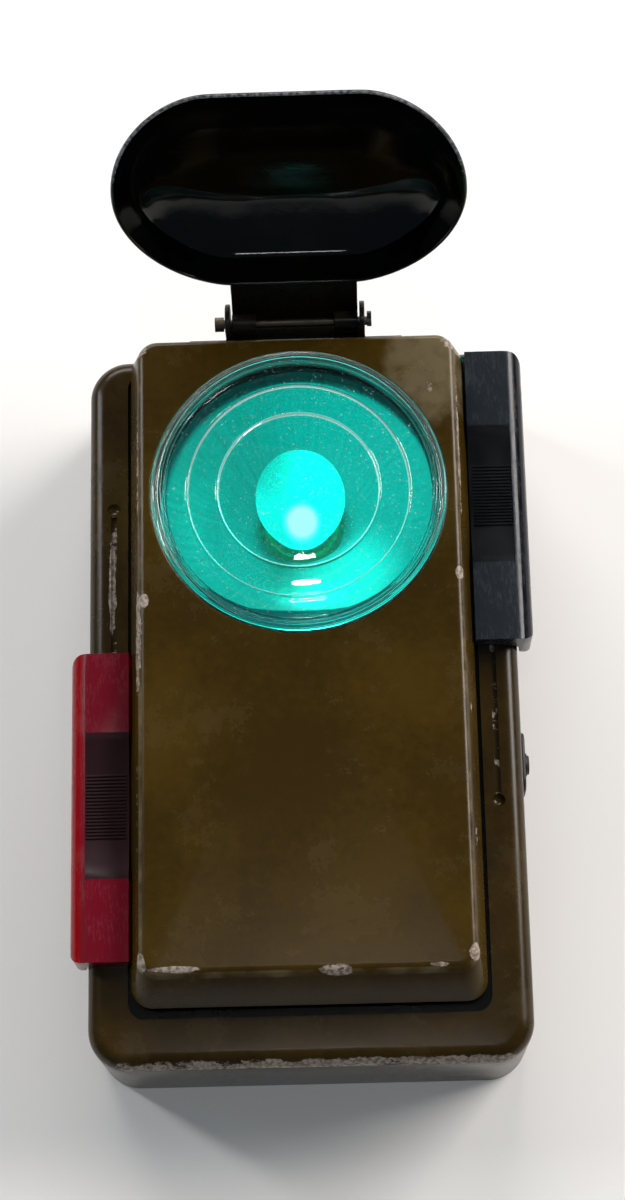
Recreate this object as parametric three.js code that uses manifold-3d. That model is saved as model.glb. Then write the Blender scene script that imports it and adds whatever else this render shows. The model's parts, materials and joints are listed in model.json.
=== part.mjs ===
// A pocket morse signal lamp of pressed steel: battery case, raised front with a stepped lens, two sliding colour
// filters, a hinged dish hood and a sliding switch with a morse key in it. Millimetres. The lamp lies on its back,
// +Z out of its front, +Y towards the hood, and the origin is the middle of the back.
import * as THREE from "three";
import { mergeVertices } from "three/addons/utils/BufferGeometryUtils.js";
import Module from "manifold-3d";

const wasm = await Module();
wasm.setup();

// Running gap between pieces, seat gap of pieces at rest on each other, and how far a cut runs past its wall.
const clearance = 0.3;
const overrun = 1;

// Case: a drawn tray, open at the back, with a shallow well in its front under the housing.
const case_width = 75;
const case_length = 127.6;
const case_depth = 27;
const case_corner = 7;
const case_edge = 3;
const case_sheet = 1;
const well_depth = 1.6;
const well_side_margin = 0.8;
const well_end_margin = 1.4;
const well_corner = 4;

// Housing: the raised front that carries the lens. The filters slide between it and the case.
const border_width = 7.75;
const housing_height = 8.5;
const housing_top_inset = 0.3;
const housing_bottom_inset = 9.7;
const housing_side_slope = 1.85;
const housing_bottom_slope = 4.9;
const housing_corner = 3.6;
const housing_edge = 1.1;
const housing_sheet = 0.9;
const housing_width = case_width - 2 * border_width;

// Lens, its rubber seal and its clamp ring. The lens is measured up from its flat back.
const lens_side_margin = 2.1;
const lens_top_margin = 3.25;
const lens_flange_rim = 1.2;
const lens_flange = 1;
const lens_rim_height = 1.1;
const lens_back_depth = 1.2;
const lens_dome_rise = 0.5;
const lens_step = 0.7;
const lens_zone_shares = [0.905, 0.745, 0.54];
const seal_thickness = 0.6;
const clamp_thickness = 0.8;
const lens_radius = housing_width / 2 - housing_side_slope - lens_side_margin;
const lens_flange_radius = lens_radius + lens_flange_rim;

// Filter slides: a thin coloured plate, a grip block on the border strip and a lip down the case's side.
const filter_top_gap = 0.95;
const filter_bottom_gap = 4.35;
const filter_pair_gap = 0.7;
const filter_plate = 0.8;
const filter_margin = 5.4;
const grip_height = 4;
const grip_shoulder = 3.5;
const grip_corner = 2.2;
const grip_gap = 0.6;
const lip_thickness = 2.1;
const lip_reach = 9.5;
const lip_corner = 6;
const scoop_length = 26;
const scoop_depth = 1.75;
const scoop_wall = 2.7;
const rib_count = 19;
const rib_pitch = 0.6;
const rib_width = 0.32;
const rib_height = 0.25;
const groove_from_edge = 4.5;
const groove_width = 1;
const groove_depth = 0.4;
const dimple_radius = 1.15;
const dimple_depth = 0.6;

// Bulb, its socket and the reflector.
const aperture_rim = 1.2;
const reflector_depth = 14.5;
const reflector_sheet = 0.5;
const reflector_flange = 2;
const reflector_hole = 6.2;
const aperture_radius = lens_radius - aperture_rim;
const reflector_radius = aperture_radius - clearance;
const bulb_above_middle = 2.5;
const bulb_radius = 7;
const bulb_height = 12.7;
const bulb_base_radius = 4.75;
const bulb_base_height = 9.2;
const socket_wall = 0.5;
const socket_height = 6.6;
const socket_flange = 2.4;
const board_thickness = 1;
const board_length = 40;
const board_height = 6.6;

// Flat three-cell battery with its two brass tongues.
const battery_side_gap = 5.5;
const battery_top_gap = 10.65;
const battery_back_gap = 0.9;
const battery_corner = 2;
const tongue_width = 6;
const tongue_thickness = 0.4;
const tongue_height = 9;
const tongue_reach = 10;
const contact_strip = 0.4;
const contact_width = 9;

// Switch on the right side: a slide that locks the light on, with the morse key in its middle.
const switch_from_middle = -10.1;
const switch_below_lip = 1;
const switch_length = 10.8;
const switch_width = 8;
const switch_cap = 0.8;
const switch_corner = 2.2;
const switch_neck_length = 7;
const switch_neck_width = 6.2;
const switch_flange = 1;
const switch_flange_margin = 1.4;
const switch_travel = 5;
const key_radius = 2.1;
const key_height = 0.8;
const key_travel = 1.2;
const key_flange = 1;
const key_flange_radius = 2.9;
const leaf_on_board = 2.3;
const leaf_width = 5;

// Hood: a pressed dish on a tongue that turns on a split pin between the bracket's ears.
const hood_angle = 76;
const hood_near = 7.8;
const hood_side_lap = 4.3;
const hood_end_lap = -1.1;
const hood_depth = 10.5;
const hood_sheet = 0.8;
const hood_rim_drop = 2.4;
const hood_axis_out = 2.9;
const hood_axis_down = 1;
const hood_tongue_width = 22.4;
const hood_tongue_past_pin = 1.2;
const knuckle_radius = 1.8;
const knuckle_length = 4.3;
const pin_radius = 0.8;
const pin_head = 1.3;
const pin_legs = 1.7;
const ear_radius = 3.6;
const bracket_width = 38;
const bracket_sheet = 0.9;
const bracket_drop = 15;
const bracket_below_front = 3.9;
const bracket_shelf = 3.7;
const rivet_radius = 1.6;
const rivet_head = 0.7;
const rivet_crown = 1.1;
const hood_length = 2 * (lens_radius + hood_end_lap);
const hood_width = 2 * (lens_radius + hood_side_lap);

// Rim outline of the hood, from the middle of its near edge to the middle of its far edge: share of the length,
// share of the half width.
const hood_rim_shares = [
  [0, 0],
  [0.002, 0.37],
  [0.07, 0.61],
  [0.135, 0.775],
  [0.215, 0.915],
  [0.31, 0.975],
  [0.465, 1],
  [0.6, 0.985],
  [0.71, 0.93],
  [0.8, 0.84],
  [0.88, 0.735],
  [0.955, 0.59],
  [0.998, 0.42],
  [1, 0],
];
// Levels of the dish: share of the depth, of the length given up at the near and far side, and of the width left.
const hood_level_shares = [
  [0, 0, 0, 1],
  [0.15, 0.004, 0.03, 0.99],
  [0.4, 0.015, 0.12, 0.95],
  [0.65, 0.035, 0.27, 0.88],
  [0.85, 0.065, 0.45, 0.79],
  [0.96, 0.105, 0.6, 0.7],
  [1, 0.16, 0.68, 0.6],
];

// Back cover, its hinge, its catch and the belt clip in its pressed recess.
const cover_sheet = 1;
const cover_flange = 4;
const cover_pin_radius = 0.7;
const cover_knuckle_radius = 1.5;
const cover_knuckle_length = 8;
const cover_knuckle_from_middle = 24;
const cover_end_gap = 0.9;
const case_knuckle_length = 16;
const clip_width = 16;
const clip_length = 46;
const clip_strip = 0.8;
const clip_from_hinge = 6.7;
const recess_depth = 2.6;
const recess_margin = 2;
const clip_rivet_radius = 1.2;
const clip_rivet_head = 1.8;
const clip_foot = 6;
const catch_width = 10;
const catch_strip = 0.6;
const catch_length = 9;

// How finely round forms are cut into flats.
const corner_steps = 6;
const edge_steps = 4;
const round_steps = 48;
const small_round_steps = 20;
const profile_steps = 8;

// Places that several pieces share.
const end_y = case_length / 2;
const side_x = case_width / 2;
const front_z = case_depth;
const well_z = front_z - well_depth;
const lens_y = end_y - lens_top_margin - lens_radius;
const bulb_y = lens_y + bulb_above_middle;
const red_z = front_z + clearance;
const green_z = red_z + filter_plate + clearance;
const wall_z = green_z + filter_plate + clearance;
const housing_z = front_z + housing_height;
const housing_low_y = -end_y + housing_bottom_inset;
const housing_high_y = end_y - housing_top_inset;
const bottom_foot_y = housing_low_y + housing_bottom_slope / 2;
const filter_high_y = housing_high_y - housing_sheet - filter_top_gap;
const filter_low_y = bottom_foot_y + housing_sheet + filter_bottom_gap;
const filter_length = (filter_high_y - filter_low_y - filter_pair_gap) / 2;
const filter_y = { up: filter_high_y - filter_length / 2, down: filter_low_y + filter_length / 2 };
const switch_height = front_z - lip_reach - switch_below_lip - switch_width / 2;
const hood_axis = { y: end_y + hood_axis_out, z: housing_z - hood_axis_down };
const cover_axis = {
  y: -end_y + case_sheet + cover_knuckle_radius + clearance * 2,
  z: cover_knuckle_radius,
};

// Turns a three.js geometry into a manifold solid.
function solid(geometry) {
  const bare = geometry.index ? geometry.toNonIndexed() : geometry.clone();
  bare.deleteAttribute("normal");
  bare.deleteAttribute("uv");
  const merged = mergeVertices(bare, 1e-4);
  return new wasm.Manifold(
    new wasm.Mesh({
      numProp: 3,
      vertProperties: merged.attributes.position.array,
      triVerts: new Uint32Array(merged.index.array),
    }),
  );
}

// Turns a manifold solid back into a named mesh with its own material.
function piece(name, shape, color, roughness, metalness, extra = {}) {
  const mesh = shape.getMesh();
  const geometry = new THREE.BufferGeometry();
  geometry.setAttribute("position", new THREE.BufferAttribute(mesh.vertProperties, mesh.numProp));
  geometry.setIndex(new THREE.BufferAttribute(mesh.triVerts, 1));
  const flat = geometry.toNonIndexed();
  flat.computeVertexNormals();
  const material = new THREE.MeshStandardMaterial({ color, roughness, metalness, ...extra });
  const made = new THREE.Mesh(flat, material);
  made.name = name;
  return made;
}

// Moves a geometry and hands it back.
function at(geometry, x, y, z) {
  geometry.translate(x, y, z);
  return geometry;
}

// A box between two corners.
function box(low, high) {
  const size = high.map((value, axis) => value - low[axis]);
  const middle = high.map((value, axis) => (value + low[axis]) / 2);
  return solid(at(new THREE.BoxGeometry(...size), ...middle));
}

// A round bar along X, Y or Z through a point, from low to high on that axis.
function bar(axis, radius, low, high, [u, v], steps = small_round_steps) {
  const geometry = new THREE.CylinderGeometry(radius, radius, high - low, steps);
  const middle = (low + high) / 2;
  if (axis === "x") at(geometry.rotateZ(-Math.PI / 2), middle, u, v);
  if (axis === "y") at(geometry, u, middle, v);
  if (axis === "z") at(geometry.rotateX(Math.PI / 2), u, v, middle);
  return solid(geometry);
}

// A solid of revolution about Z from a profile of [radius, z] points that closes on itself or on the axis.
function revolve(profile, steps = round_steps) {
  const points = profile.map(([radius, z]) => new THREE.Vector2(radius, z));
  return solid(new THREE.LatheGeometry(points, steps).rotateX(Math.PI / 2));
}

// A flat outline in Y and Z, run along X from low to high.
function run_along_x(outline, low, high) {
  const shape = new THREE.Shape(outline.map(([y, z]) => new THREE.Vector2(y, z)));
  const geometry = new THREE.ExtrudeGeometry(shape, { depth: high - low, bevelEnabled: false, steps: 1 });
  const turned = new THREE.Matrix4().set(0, 0, 1, low, 1, 0, 0, 0, 0, 1, 0, 0, 0, 0, 0, 1);
  return solid(geometry.applyMatrix4(turned));
}

// A flat outline in X and Z, run along Y from low to high.
function run_along_y(outline, low, high) {
  const shape = new THREE.Shape(outline.map(([x, z]) => new THREE.Vector2(x, z)));
  const geometry = new THREE.ExtrudeGeometry(shape, { depth: high - low, bevelEnabled: false, steps: 1 });
  return solid(at(geometry.rotateX(Math.PI / 2), 0, high, 0));
}

// A rectangle with round corners, counterclockwise, as [x, y] points.
function rounded(low_x, high_x, low_y, high_y, corner, steps = corner_steps) {
  const centres = [
    [high_x - corner, low_y + corner, -Math.PI / 2],
    [high_x - corner, high_y - corner, 0],
    [low_x + corner, high_y - corner, Math.PI / 2],
    [low_x + corner, low_y + corner, Math.PI],
  ];
  return centres.flatMap(([x, y, start]) =>
    Array.from({ length: steps + 1 }, (_, step) => {
      const angle = start + (step / steps) * (Math.PI / 2);
      return [x + corner * Math.cos(angle), y + corner * Math.sin(angle)];
    }),
  );
}

// A solid skinned over rings of points that all have the same count, with a flat cap on the first and last.
function loft(rings) {
  const count = rings[0].length;
  const caps = THREE.ShapeUtils.triangulateShape(
    rings[0].map(([x, y]) => new THREE.Vector2(x, y)),
    [],
  );
  const faces = caps.map(([a, b, c]) => [c, b, a]);
  rings.slice(1).forEach((_, level) => {
    for (let here = 0; here < count; here++) {
      const next = (here + 1) % count;
      const low = level * count;
      faces.push([low + here, low + next, low + count + next]);
      faces.push([low + here, low + count + next, low + count + here]);
    }
  });
  const top = (rings.length - 1) * count;
  caps.forEach(([a, b, c]) => faces.push([top + a, top + b, top + c]));
  const geometry = new THREE.BufferGeometry();
  geometry.setAttribute("position", new THREE.Float32BufferAttribute(rings.flat(2), 3));
  geometry.setIndex(faces.flat());
  return solid(geometry);
}

// Rings of a straight-sided block with a rounded top edge; each ring takes [x, y] points from outline(inset).
function edge_rings(outline, low_z, high_z, edge) {
  const bottom = outline(0).map(([x, y]) => [x, y, low_z]);
  const rounds = Array.from({ length: edge_steps + 1 }, (_, step) => {
    const angle = (step / edge_steps) * (Math.PI / 2);
    const z = high_z - edge + edge * Math.sin(angle);
    return outline(edge * (1 - Math.cos(angle))).map(([x, y]) => [x, y, z]);
  });
  return [bottom, ...rounds];
}

// A block with round corners in plan and a rounded top edge.
function block(low_x, high_x, low_y, high_y, low_z, high_z, corner, edge) {
  const outline = (inset) =>
    rounded(low_x + inset, high_x - inset, low_y + inset, high_y - inset, corner - inset);
  return loft(edge_rings(outline, low_z, high_z, edge));
}

const olive = 0x443517;
const olive_inside = 0x2e2a18;
const steel = 0x9a968c;
const brass = 0xb08a3e;
const black = 0x17160f;

// The two border strips carry a groove with a dimple at each end, where the slides click in.
function grooves() {
  const cuts = [-1, 1].flatMap((side) => {
    const x = side * (side_x - groove_from_edge);
    const half = groove_width / 2;
    return [
      box([x - half, filter_y.down, front_z - groove_depth], [x + half, filter_y.up, front_z + overrun]),
      bar("z", dimple_radius, front_z - dimple_depth, front_z + overrun, [x, filter_y.up]),
      bar("z", dimple_radius, front_z - dimple_depth, front_z + overrun, [x, filter_y.down]),
    ];
  });
  return wasm.Manifold.union(cuts);
}

// The case: outer tray, less its inside, the well, the lens aperture, the switch window and the grooves.
function case_shell() {
  const outer = block(-side_x, side_x, -end_y, end_y, 0, front_z, case_corner, case_edge);
  const inner_x = side_x - case_sheet;
  const inner_y = end_y - case_sheet;
  const inner_corner = case_corner - case_sheet;
  const inner_z = well_z - case_sheet;
  const inside = block(-inner_x, inner_x, -inner_y, inner_y, -overrun, inner_z, inner_corner, case_edge - case_sheet);
  const well_x = housing_width / 2 + well_side_margin;
  const well_low = housing_low_y - well_end_margin;
  const well_high = lens_y + aperture_radius + (end_y - case_edge - lens_y - aperture_radius) / 2;
  const well_outline = rounded(-well_x, well_x, well_low, well_high, well_corner);
  const well = loft([
    well_outline.map(([x, y]) => [x, y, well_z]),
    well_outline.map(([x, y]) => [x, y, front_z + overrun]),
  ]);
  const aperture = bar("z", aperture_radius, inner_z - overrun, front_z, [0, lens_y], round_steps);
  const window_y = switch_neck_length / 2 + clearance;
  const window_z = switch_neck_width / 2 + clearance;
  const window = box(
    [inner_x - overrun, switch_from_middle - switch_travel - window_y, switch_height - window_z],
    [side_x + overrun, switch_from_middle + window_y, switch_height + window_z],
  );
  const half = case_knuckle_length / 2;
  const knuckle = bar("x", cover_knuckle_radius, -half, half, [cover_axis.y, cover_axis.z]);
  const web = box([-half, -inner_y - overrun / 2, cover_axis.z], [half, cover_axis.y, cover_axis.z * 2]);
  const pin_hole = bar("x", cover_pin_radius + clearance / 2, -half - overrun, half + overrun, [
    cover_axis.y,
    cover_axis.z,
  ]);
  const shell = outer.subtract(inside).subtract(well).subtract(aperture).subtract(window).subtract(grooves());
  return piece("case_shell", shell.add(knuckle).add(web).subtract(pin_hole), olive, 0.55, 0.25);
}

// A tapered, round-edged block with the housing's slopes, sunk by a wall so that it serves outside and inside.
function housing_block(wall, low_z, high_z) {
  const rise = housing_z - wall_z;
  const outline = (inset, z) => {
    const share = Math.max(0, (z - wall_z) / rise);
    const half = housing_width / 2 - wall - inset - housing_side_slope * share;
    const low = housing_low_y + wall + inset + housing_bottom_slope * share;
    const high = housing_high_y - wall - inset;
    return rounded(-half, half, low, high, housing_corner - wall / 2 - inset / 2).map(([x, y]) => [x, y, z]);
  };
  const edge = housing_edge - wall;
  const rounds = Array.from({ length: edge_steps + 1 }, (_, step) => {
    const angle = (step / edge_steps) * (Math.PI / 2);
    return outline(edge * (1 - Math.cos(angle)), high_z - edge + edge * Math.sin(angle));
  });
  return loft([outline(0, low_z), outline(0, wall_z), ...rounds]);
}

// The raised front. Its side walls end above the filters; the top wall and an inset bottom wall stand on the case.
function front_housing() {
  const low_z = wall_z - housing_sheet;
  const shell = housing_block(0, low_z, housing_z).subtract(
    housing_block(housing_sheet, low_z - overrun, housing_z - housing_sheet),
  );
  const side_cut = box([-case_width, housing_low_y - overrun, low_z - overrun], [case_width, housing_high_y, wall_z]);
  const hole = bar("z", lens_radius + clearance, low_z, housing_z + overrun, [0, lens_y], round_steps);
  const foot_x = housing_width / 2 - housing_corner;
  const foot_y = housing_high_y - housing_sheet;
  const across = foot_y - (end_y - case_edge);
  const foot_z = front_z - case_edge + Math.sqrt(case_edge ** 2 - across ** 2) + clearance;
  const top_foot = box([-foot_x, foot_y, foot_z], [foot_x, housing_high_y, wall_z + housing_sheet]);
  const bottom_foot = box(
    [-foot_x, bottom_foot_y, well_z + clearance],
    [foot_x, bottom_foot_y + housing_sheet, wall_z + (housing_z - wall_z) / 2 + housing_sheet],
  );
  const shape = shell.subtract(side_cut).add(top_foot).add(bottom_foot).subtract(hole);
  return piece("front_housing", shape, olive, 0.5, 0.3);
}

// The stepped lens, from the middle of its flat back outwards and back over its zones to the dome.
function lens() {
  const seat_z = housing_z - housing_sheet - clearance - seal_thickness - clearance;
  const back_z = seat_z - lens_flange - lens_back_depth;
  const rim_z = housing_z + lens_rim_height;
  const body = lens_radius - lens_rim_height;
  const [zone, middle, core] = lens_zone_shares.map((share) => share * lens_radius);
  const low = housing_z - lens_step;
  const dome = Array.from({ length: edge_steps + 1 }, (_, step) => {
    const share = 1 - step / edge_steps;
    return [core * share, housing_z + (lens_dome_rise + lens_step) * (1 - share ** 2)];
  });
  const profile = [
    [0, back_z],
    [body, back_z],
    [body, seat_z - lens_flange],
    [lens_flange_radius, seat_z - lens_flange],
    [lens_flange_radius, seat_z],
    [lens_radius, seat_z],
    [lens_radius, rim_z - lens_rim_height / 2],
    [lens_radius - lens_rim_height / 2, rim_z],
    [body, rim_z],
    [body, rim_z - lens_rim_height / 2],
    [(body + zone) / 2, rim_z - lens_rim_height / 2],
    [(body + zone) / 2, housing_z],
    [zone, housing_z],
    [zone, low],
    [middle, housing_z],
    [middle, low],
    [core, housing_z + lens_step / 2],
    ...dome,
  ];
  const shape = revolve(profile).translate([0, lens_y, 0]);
  return piece("lens", shape, 0x9fd8d0, 0.08, 0, { transparent: true, opacity: 0.5 });
}

// A flat ring about the lens axis.
function lens_ring(name, inner, outer, low_z, high_z, color, roughness, metalness) {
  const shape = revolve([
    [inner, low_z],
    [outer, low_z],
    [outer, high_z],
    [inner, high_z],
    [inner, low_z],
  ]);
  return piece(name, shape.translate([0, lens_y, 0]), color, roughness, metalness);
}

// The seal above the lens flange and the clamp ring below it.
function lens_rings() {
  const seal_z = housing_z - housing_sheet - clearance - seal_thickness;
  const clamp_z = seal_z - clearance - lens_flange - clearance;
  const outer = lens_flange_radius + clearance / 2;
  return [
    lens_ring("lens_seal", lens_radius + clearance, outer, seal_z, seal_z + seal_thickness, 0x111111, 0.9, 0),
    lens_ring(
      "lens_clamp_ring",
      lens_radius - lens_rim_height + clearance,
      outer,
      clamp_z - clamp_thickness,
      clamp_z,
      steel,
      0.4,
      0.8,
    ),
  ];
}

const battery_width = case_width - 2 * (case_sheet + battery_side_gap);
const battery_low_y = -end_y + case_sheet + clearance * 2;
const battery_high_y = lens_y - reflector_radius - reflector_flange - battery_top_gap;
const battery_high_z = well_z - case_sheet - clearance;
const battery_low_z = recess_depth + cover_sheet + battery_back_gap;
const leaf_x = battery_width / 2 + clearance * 2;

// The bright dish behind the lens: a parabola with a flat flange under the case front.
function reflector() {
  const flange_z = well_z - case_sheet - clearance - reflector_sheet;
  const vertex_z = flange_z - reflector_depth;
  const height = (radius) => vertex_z + reflector_depth * (radius / reflector_radius) ** 2;
  const radii = Array.from({ length: profile_steps + 1 }, (_, step) => (step / profile_steps) * reflector_radius);
  const outer = reflector_radius + reflector_flange;
  const inside = radii.map((radius) => [radius, height(radius) + reflector_sheet]);
  const outside = radii.map((radius) => [radius + (radius / reflector_radius) * reflector_sheet, height(radius)]);
  const profile = [
    ...outside,
    [outer, flange_z],
    [outer, flange_z + reflector_sheet],
    ...inside.reverse(),
  ];
  const hole = bar("z", reflector_hole, vertex_z - overrun, flange_z, [0, bulb_y], round_steps);
  const dish = revolve(profile).translate([0, lens_y, 0]).subtract(hole);
  return piece("reflector", dish, 0xd8d8d2, 0.12, 1);
}

const clip_y = cover_axis.y + clip_from_hinge + clip_length / 2;
const board_low_y = end_y - case_corner - board_length;
const base_low_z = board_height - board_thickness - clearance * 2 - contact_strip;
const base_high_z = base_low_z + bulb_base_height;

// The bulb: a glass globe and a brass screw base with its contact tip.
function bulb() {
  const globe_z = base_high_z + clearance + bulb_height - bulb_radius;
  const rounds = Array.from({ length: profile_steps + 1 }, (_, step) => {
    const angle = (step / profile_steps) * (Math.PI * 0.75) - Math.PI / 4;
    return [bulb_radius * Math.cos(angle), globe_z + bulb_radius * Math.sin(angle)];
  });
  const neck = bulb_base_radius - socket_wall * 2;
  const glass = revolve([[0, base_high_z + clearance], [neck, base_high_z + clearance], ...rounds], small_round_steps);
  const base = revolve(
    [
      [0, base_low_z],
      [bulb_base_radius / 3, base_low_z],
      [bulb_base_radius, base_low_z + bulb_base_radius / 3],
      [bulb_base_radius, base_high_z],
      [0, base_high_z],
    ],
    small_round_steps,
  );
  return [
    piece("bulb_glass", glass.translate([0, bulb_y, 0]), 0xfff6dc, 0.05, 0, { transparent: true, opacity: 0.4 }),
    piece("bulb_base", base.translate([0, bulb_y, 0]), brass, 0.35, 0.9),
  ];
}

// The sleeve that holds the bulb, with its flange on the contact board.
function bulb_socket() {
  const inner = bulb_base_radius + clearance;
  const outer = inner + socket_wall;
  const flange_z = board_height + clearance;
  const profile = [
    [inner, board_height - board_thickness],
    [outer, board_height - board_thickness],
    [outer, flange_z],
    [outer + socket_flange, flange_z],
    [outer + socket_flange, flange_z + socket_wall],
    [outer, flange_z + socket_wall],
    [outer, board_height - board_thickness + socket_height],
    [inner, board_height - board_thickness + socket_height],
    [inner, board_height - board_thickness],
  ];
  return piece("bulb_socket", revolve(profile, small_round_steps * 2).translate([0, bulb_y, 0]), brass, 0.35, 0.9);
}

// The insulating board across the case that carries the socket and the contacts.
function contact_board() {
  const half = case_width / 2 - case_sheet - clearance;
  const board = box(
    [-half, board_low_y, board_height - board_thickness],
    [half, end_y - case_corner, board_height],
  );
  const hole = bar("z", bulb_base_radius + clearance + socket_wall + clearance, 0, case_depth, [0, bulb_y], round_steps);
  return piece("contact_board", board.subtract(hole), 0x5a3a22, 0.8, 0);
}

// The brass strip under the bulb's tip.
function centre_contact() {
  const high_z = base_low_z - clearance;
  const low_y = battery_high_y + clearance + tongue_reach / 2;
  const shape = box(
    [-contact_width / 2, low_y, high_z - contact_strip],
    [contact_width / 2, bulb_y + bulb_base_radius, high_z],
  );
  return piece("centre_contact", shape, brass, 0.35, 0.9);
}

// The flat battery and its two tongues.
function battery() {
  const half = battery_width / 2;
  const body = block(
    -half,
    half,
    battery_low_y,
    battery_high_y,
    battery_low_z,
    battery_high_z,
    battery_corner,
    battery_corner / 2,
  );
  const root_y = battery_high_y + clearance;
  const root_z = (battery_low_z + battery_high_z) / 2;
  const landing_z = base_low_z + clearance / 2;
  const t = tongue_thickness;
  const long_strip = [
    [root_y, root_z],
    [root_y + t, root_z],
    [root_y + t, landing_z + t],
    [root_y + tongue_reach, landing_z + t],
    [root_y + tongue_reach, landing_z],
    [root_y, landing_z],
  ];
  const long_tongue = run_along_x(long_strip, -tongue_width / 2, tongue_width / 2);
  const short_x = leaf_x - clearance - tongue_width;
  const short_strip = [
    [root_y, root_z],
    [root_y + t, root_z],
    [root_y + t, root_z + tongue_height - t],
    [root_y + tongue_reach / 2, root_z + tongue_height - t],
    [root_y + tongue_reach / 2, root_z + tongue_height],
    [root_y, root_z + tongue_height],
  ];
  const short_tongue = run_along_x(short_strip, short_x, short_x + tongue_width);
  return [
    piece("battery_case", body, 0x2f4a63, 0.7, 0),
    piece("battery_tongue_long", long_tongue, brass, 0.35, 0.9),
    piece("battery_tongue_short", short_tongue, brass, 0.35, 0.9),
  ];
}

// The springy strip that the morse key presses, standing on the contact board.
function switch_contact() {
  const low_y = switch_from_middle - switch_travel - key_flange_radius;
  const high_y = board_low_y + leaf_on_board;
  const arm = box(
    [leaf_x, low_y, switch_height - leaf_width / 2],
    [leaf_x + contact_strip, high_y, switch_height + leaf_width / 2],
  );
  const leg = box(
    [leaf_x, high_y - leaf_width, board_height + clearance],
    [leaf_x + contact_strip, high_y, switch_height],
  );
  return piece("switch_contact", arm.add(leg), brass, 0.35, 0.9);
}

// The slide: an outer cap, a neck through the case window and a flange behind the wall, bored for the key.
function switch_slide() {
  const y = switch_from_middle;
  const z = switch_height;
  const cap_x = side_x + clearance;
  const cap = block(
    -switch_length / 2,
    switch_length / 2,
    -switch_width / 2,
    switch_width / 2,
    cap_x,
    cap_x + switch_cap,
    switch_corner,
    switch_cap / 2,
  ).transform([0, 1, 0, 0, 0, 0, 1, 0, 1, 0, 0, 0, 0, y, z, 1]);
  const flange_x = side_x - case_sheet - clearance;
  const neck_y = switch_neck_length / 2;
  const neck_z = switch_neck_width / 2;
  const neck = box([flange_x, y - neck_y, z - neck_z], [cap_x + switch_cap / 2, y + neck_y, z + neck_z]);
  const flange_y = neck_y + switch_flange_margin;
  const flange_z = neck_z + switch_flange_margin;
  const flange = box([flange_x - switch_flange, y - flange_y, z - flange_z], [flange_x, y + flange_y, z + flange_z]);
  const bore = bar("x", key_radius + clearance, flange_x - switch_flange - overrun, side_x + overrun * 3, [y, z]);
  return piece("switch_slide", cap.add(neck).add(flange).subtract(bore), black, 0.45, 0);
}

// The morse key: a round button with a flange that keeps it in the slide.
function morse_button() {
  const place = [switch_from_middle, switch_height];
  const flange_x = side_x - case_sheet - clearance - switch_flange - clearance;
  const top_x = side_x + clearance + switch_cap + key_height;
  const stem = bar("x", key_radius, flange_x, top_x - key_height / 2, place);
  const crown = bar("x", key_radius - key_height / 2, flange_x, top_x, place);
  const flange = bar("x", key_flange_radius, flange_x - key_flange, flange_x, place);
  return piece("morse_button", stem.add(crown).add(flange), black, 0.4, 0);
}

// One filter slide for the right side: plate, grip block with its scoop and ribs, and the lip. side -1 mirrors it.
function filter_slide(name, side, plate_z, middle_y, color) {
  const inner_x = housing_width / 2 + clearance;
  const outer_x = side_x + grip_gap + lip_thickness;
  const top_z = front_z + grip_height;
  const low_z = front_z + clearance;
  const arc = (cx, cz, rx, rz, from, to, steps) =>
    Array.from({ length: steps + 1 }, (_, step) => {
      const angle = from + ((to - from) * step) / steps;
      return [cx + rx * Math.cos(angle), cz + rz * Math.sin(angle)];
    });
  const shoulder = arc(outer_x - grip_shoulder, top_z - grip_shoulder, grip_shoulder, grip_shoulder, 0, Math.PI / 2, 6);
  const hollow = arc(
    side_x - case_edge,
    front_z - case_edge,
    case_edge + grip_gap,
    case_edge + clearance,
    Math.PI / 2,
    0,
    5,
  );
  const lip_end = front_z - lip_reach;
  const turn = lip_thickness / 2;
  const lip_round = arc(outer_x - turn, lip_end + turn, turn, turn, -Math.PI, 0, 5);
  const section = [[inner_x, low_z], ...hollow, ...lip_round, ...shoulder, [inner_x, top_z]];
  const half = filter_length / 2;
  const low_y = middle_y - half;
  const high_y = middle_y + half;
  const plan = rounded(inner_x - grip_corner * 2, outer_x, low_y, high_y, grip_corner);
  const plan_block = loft([
    plan.map(([x, y]) => [x, y, lip_end - overrun]),
    plan.map(([x, y]) => [x, y, top_z + overrun]),
  ]);
  const lip_ends = run_along_x(
    rounded(low_y, high_y, lip_end, top_z + lip_corner * 2, lip_corner),
    inner_x - overrun,
    outer_x + overrun,
  );
  const grip = run_along_y(section, low_y, high_y).intersect(plan_block).intersect(lip_ends);
  const plate_x = housing_width / 2 - filter_margin;
  const plate = box(
    [-plate_x, low_y + clearance, plate_z],
    [inner_x + clearance, high_y - clearance, plate_z + filter_plate],
  );
  const chord = scoop_length / 2;
  const scoop_radius = (chord ** 2 + scoop_depth ** 2) / (2 * scoop_depth);
  const scoop_x = outer_x - scoop_wall;
  const bend = Math.asin(chord / scoop_radius) + (overrun * 2) / scoop_radius;
  const floor_middle = top_z - scoop_depth + scoop_radius;
  const floor = arc(
    middle_y,
    floor_middle,
    scoop_radius,
    scoop_radius,
    -Math.PI / 2 - bend,
    -Math.PI / 2 + bend,
    profile_steps * 2,
  );
  const scoop = run_along_x(floor, inner_x - overrun, scoop_x);
  const floor_z = (y) => floor_middle - Math.sqrt(scoop_radius ** 2 - (y - middle_y) ** 2);
  const ribs = Array.from({ length: rib_count }, (_, index) => {
    const y = middle_y + (index - (rib_count - 1) / 2) * rib_pitch;
    return box(
      [inner_x + grip_gap, y - rib_width / 2, floor_z(y) - rib_height],
      [scoop_x + rib_height, y + rib_width / 2, floor_z(y) + rib_height],
    );
  });
  const right = grip.add(plate).subtract(scoop).add(wasm.Manifold.union(ribs));
  const shape = side > 0 ? right : right.mirror([1, 0, 0]);
  return piece(name, shape, color, 0.35, 0, { transparent: true, opacity: 0.8 });
}

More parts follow.
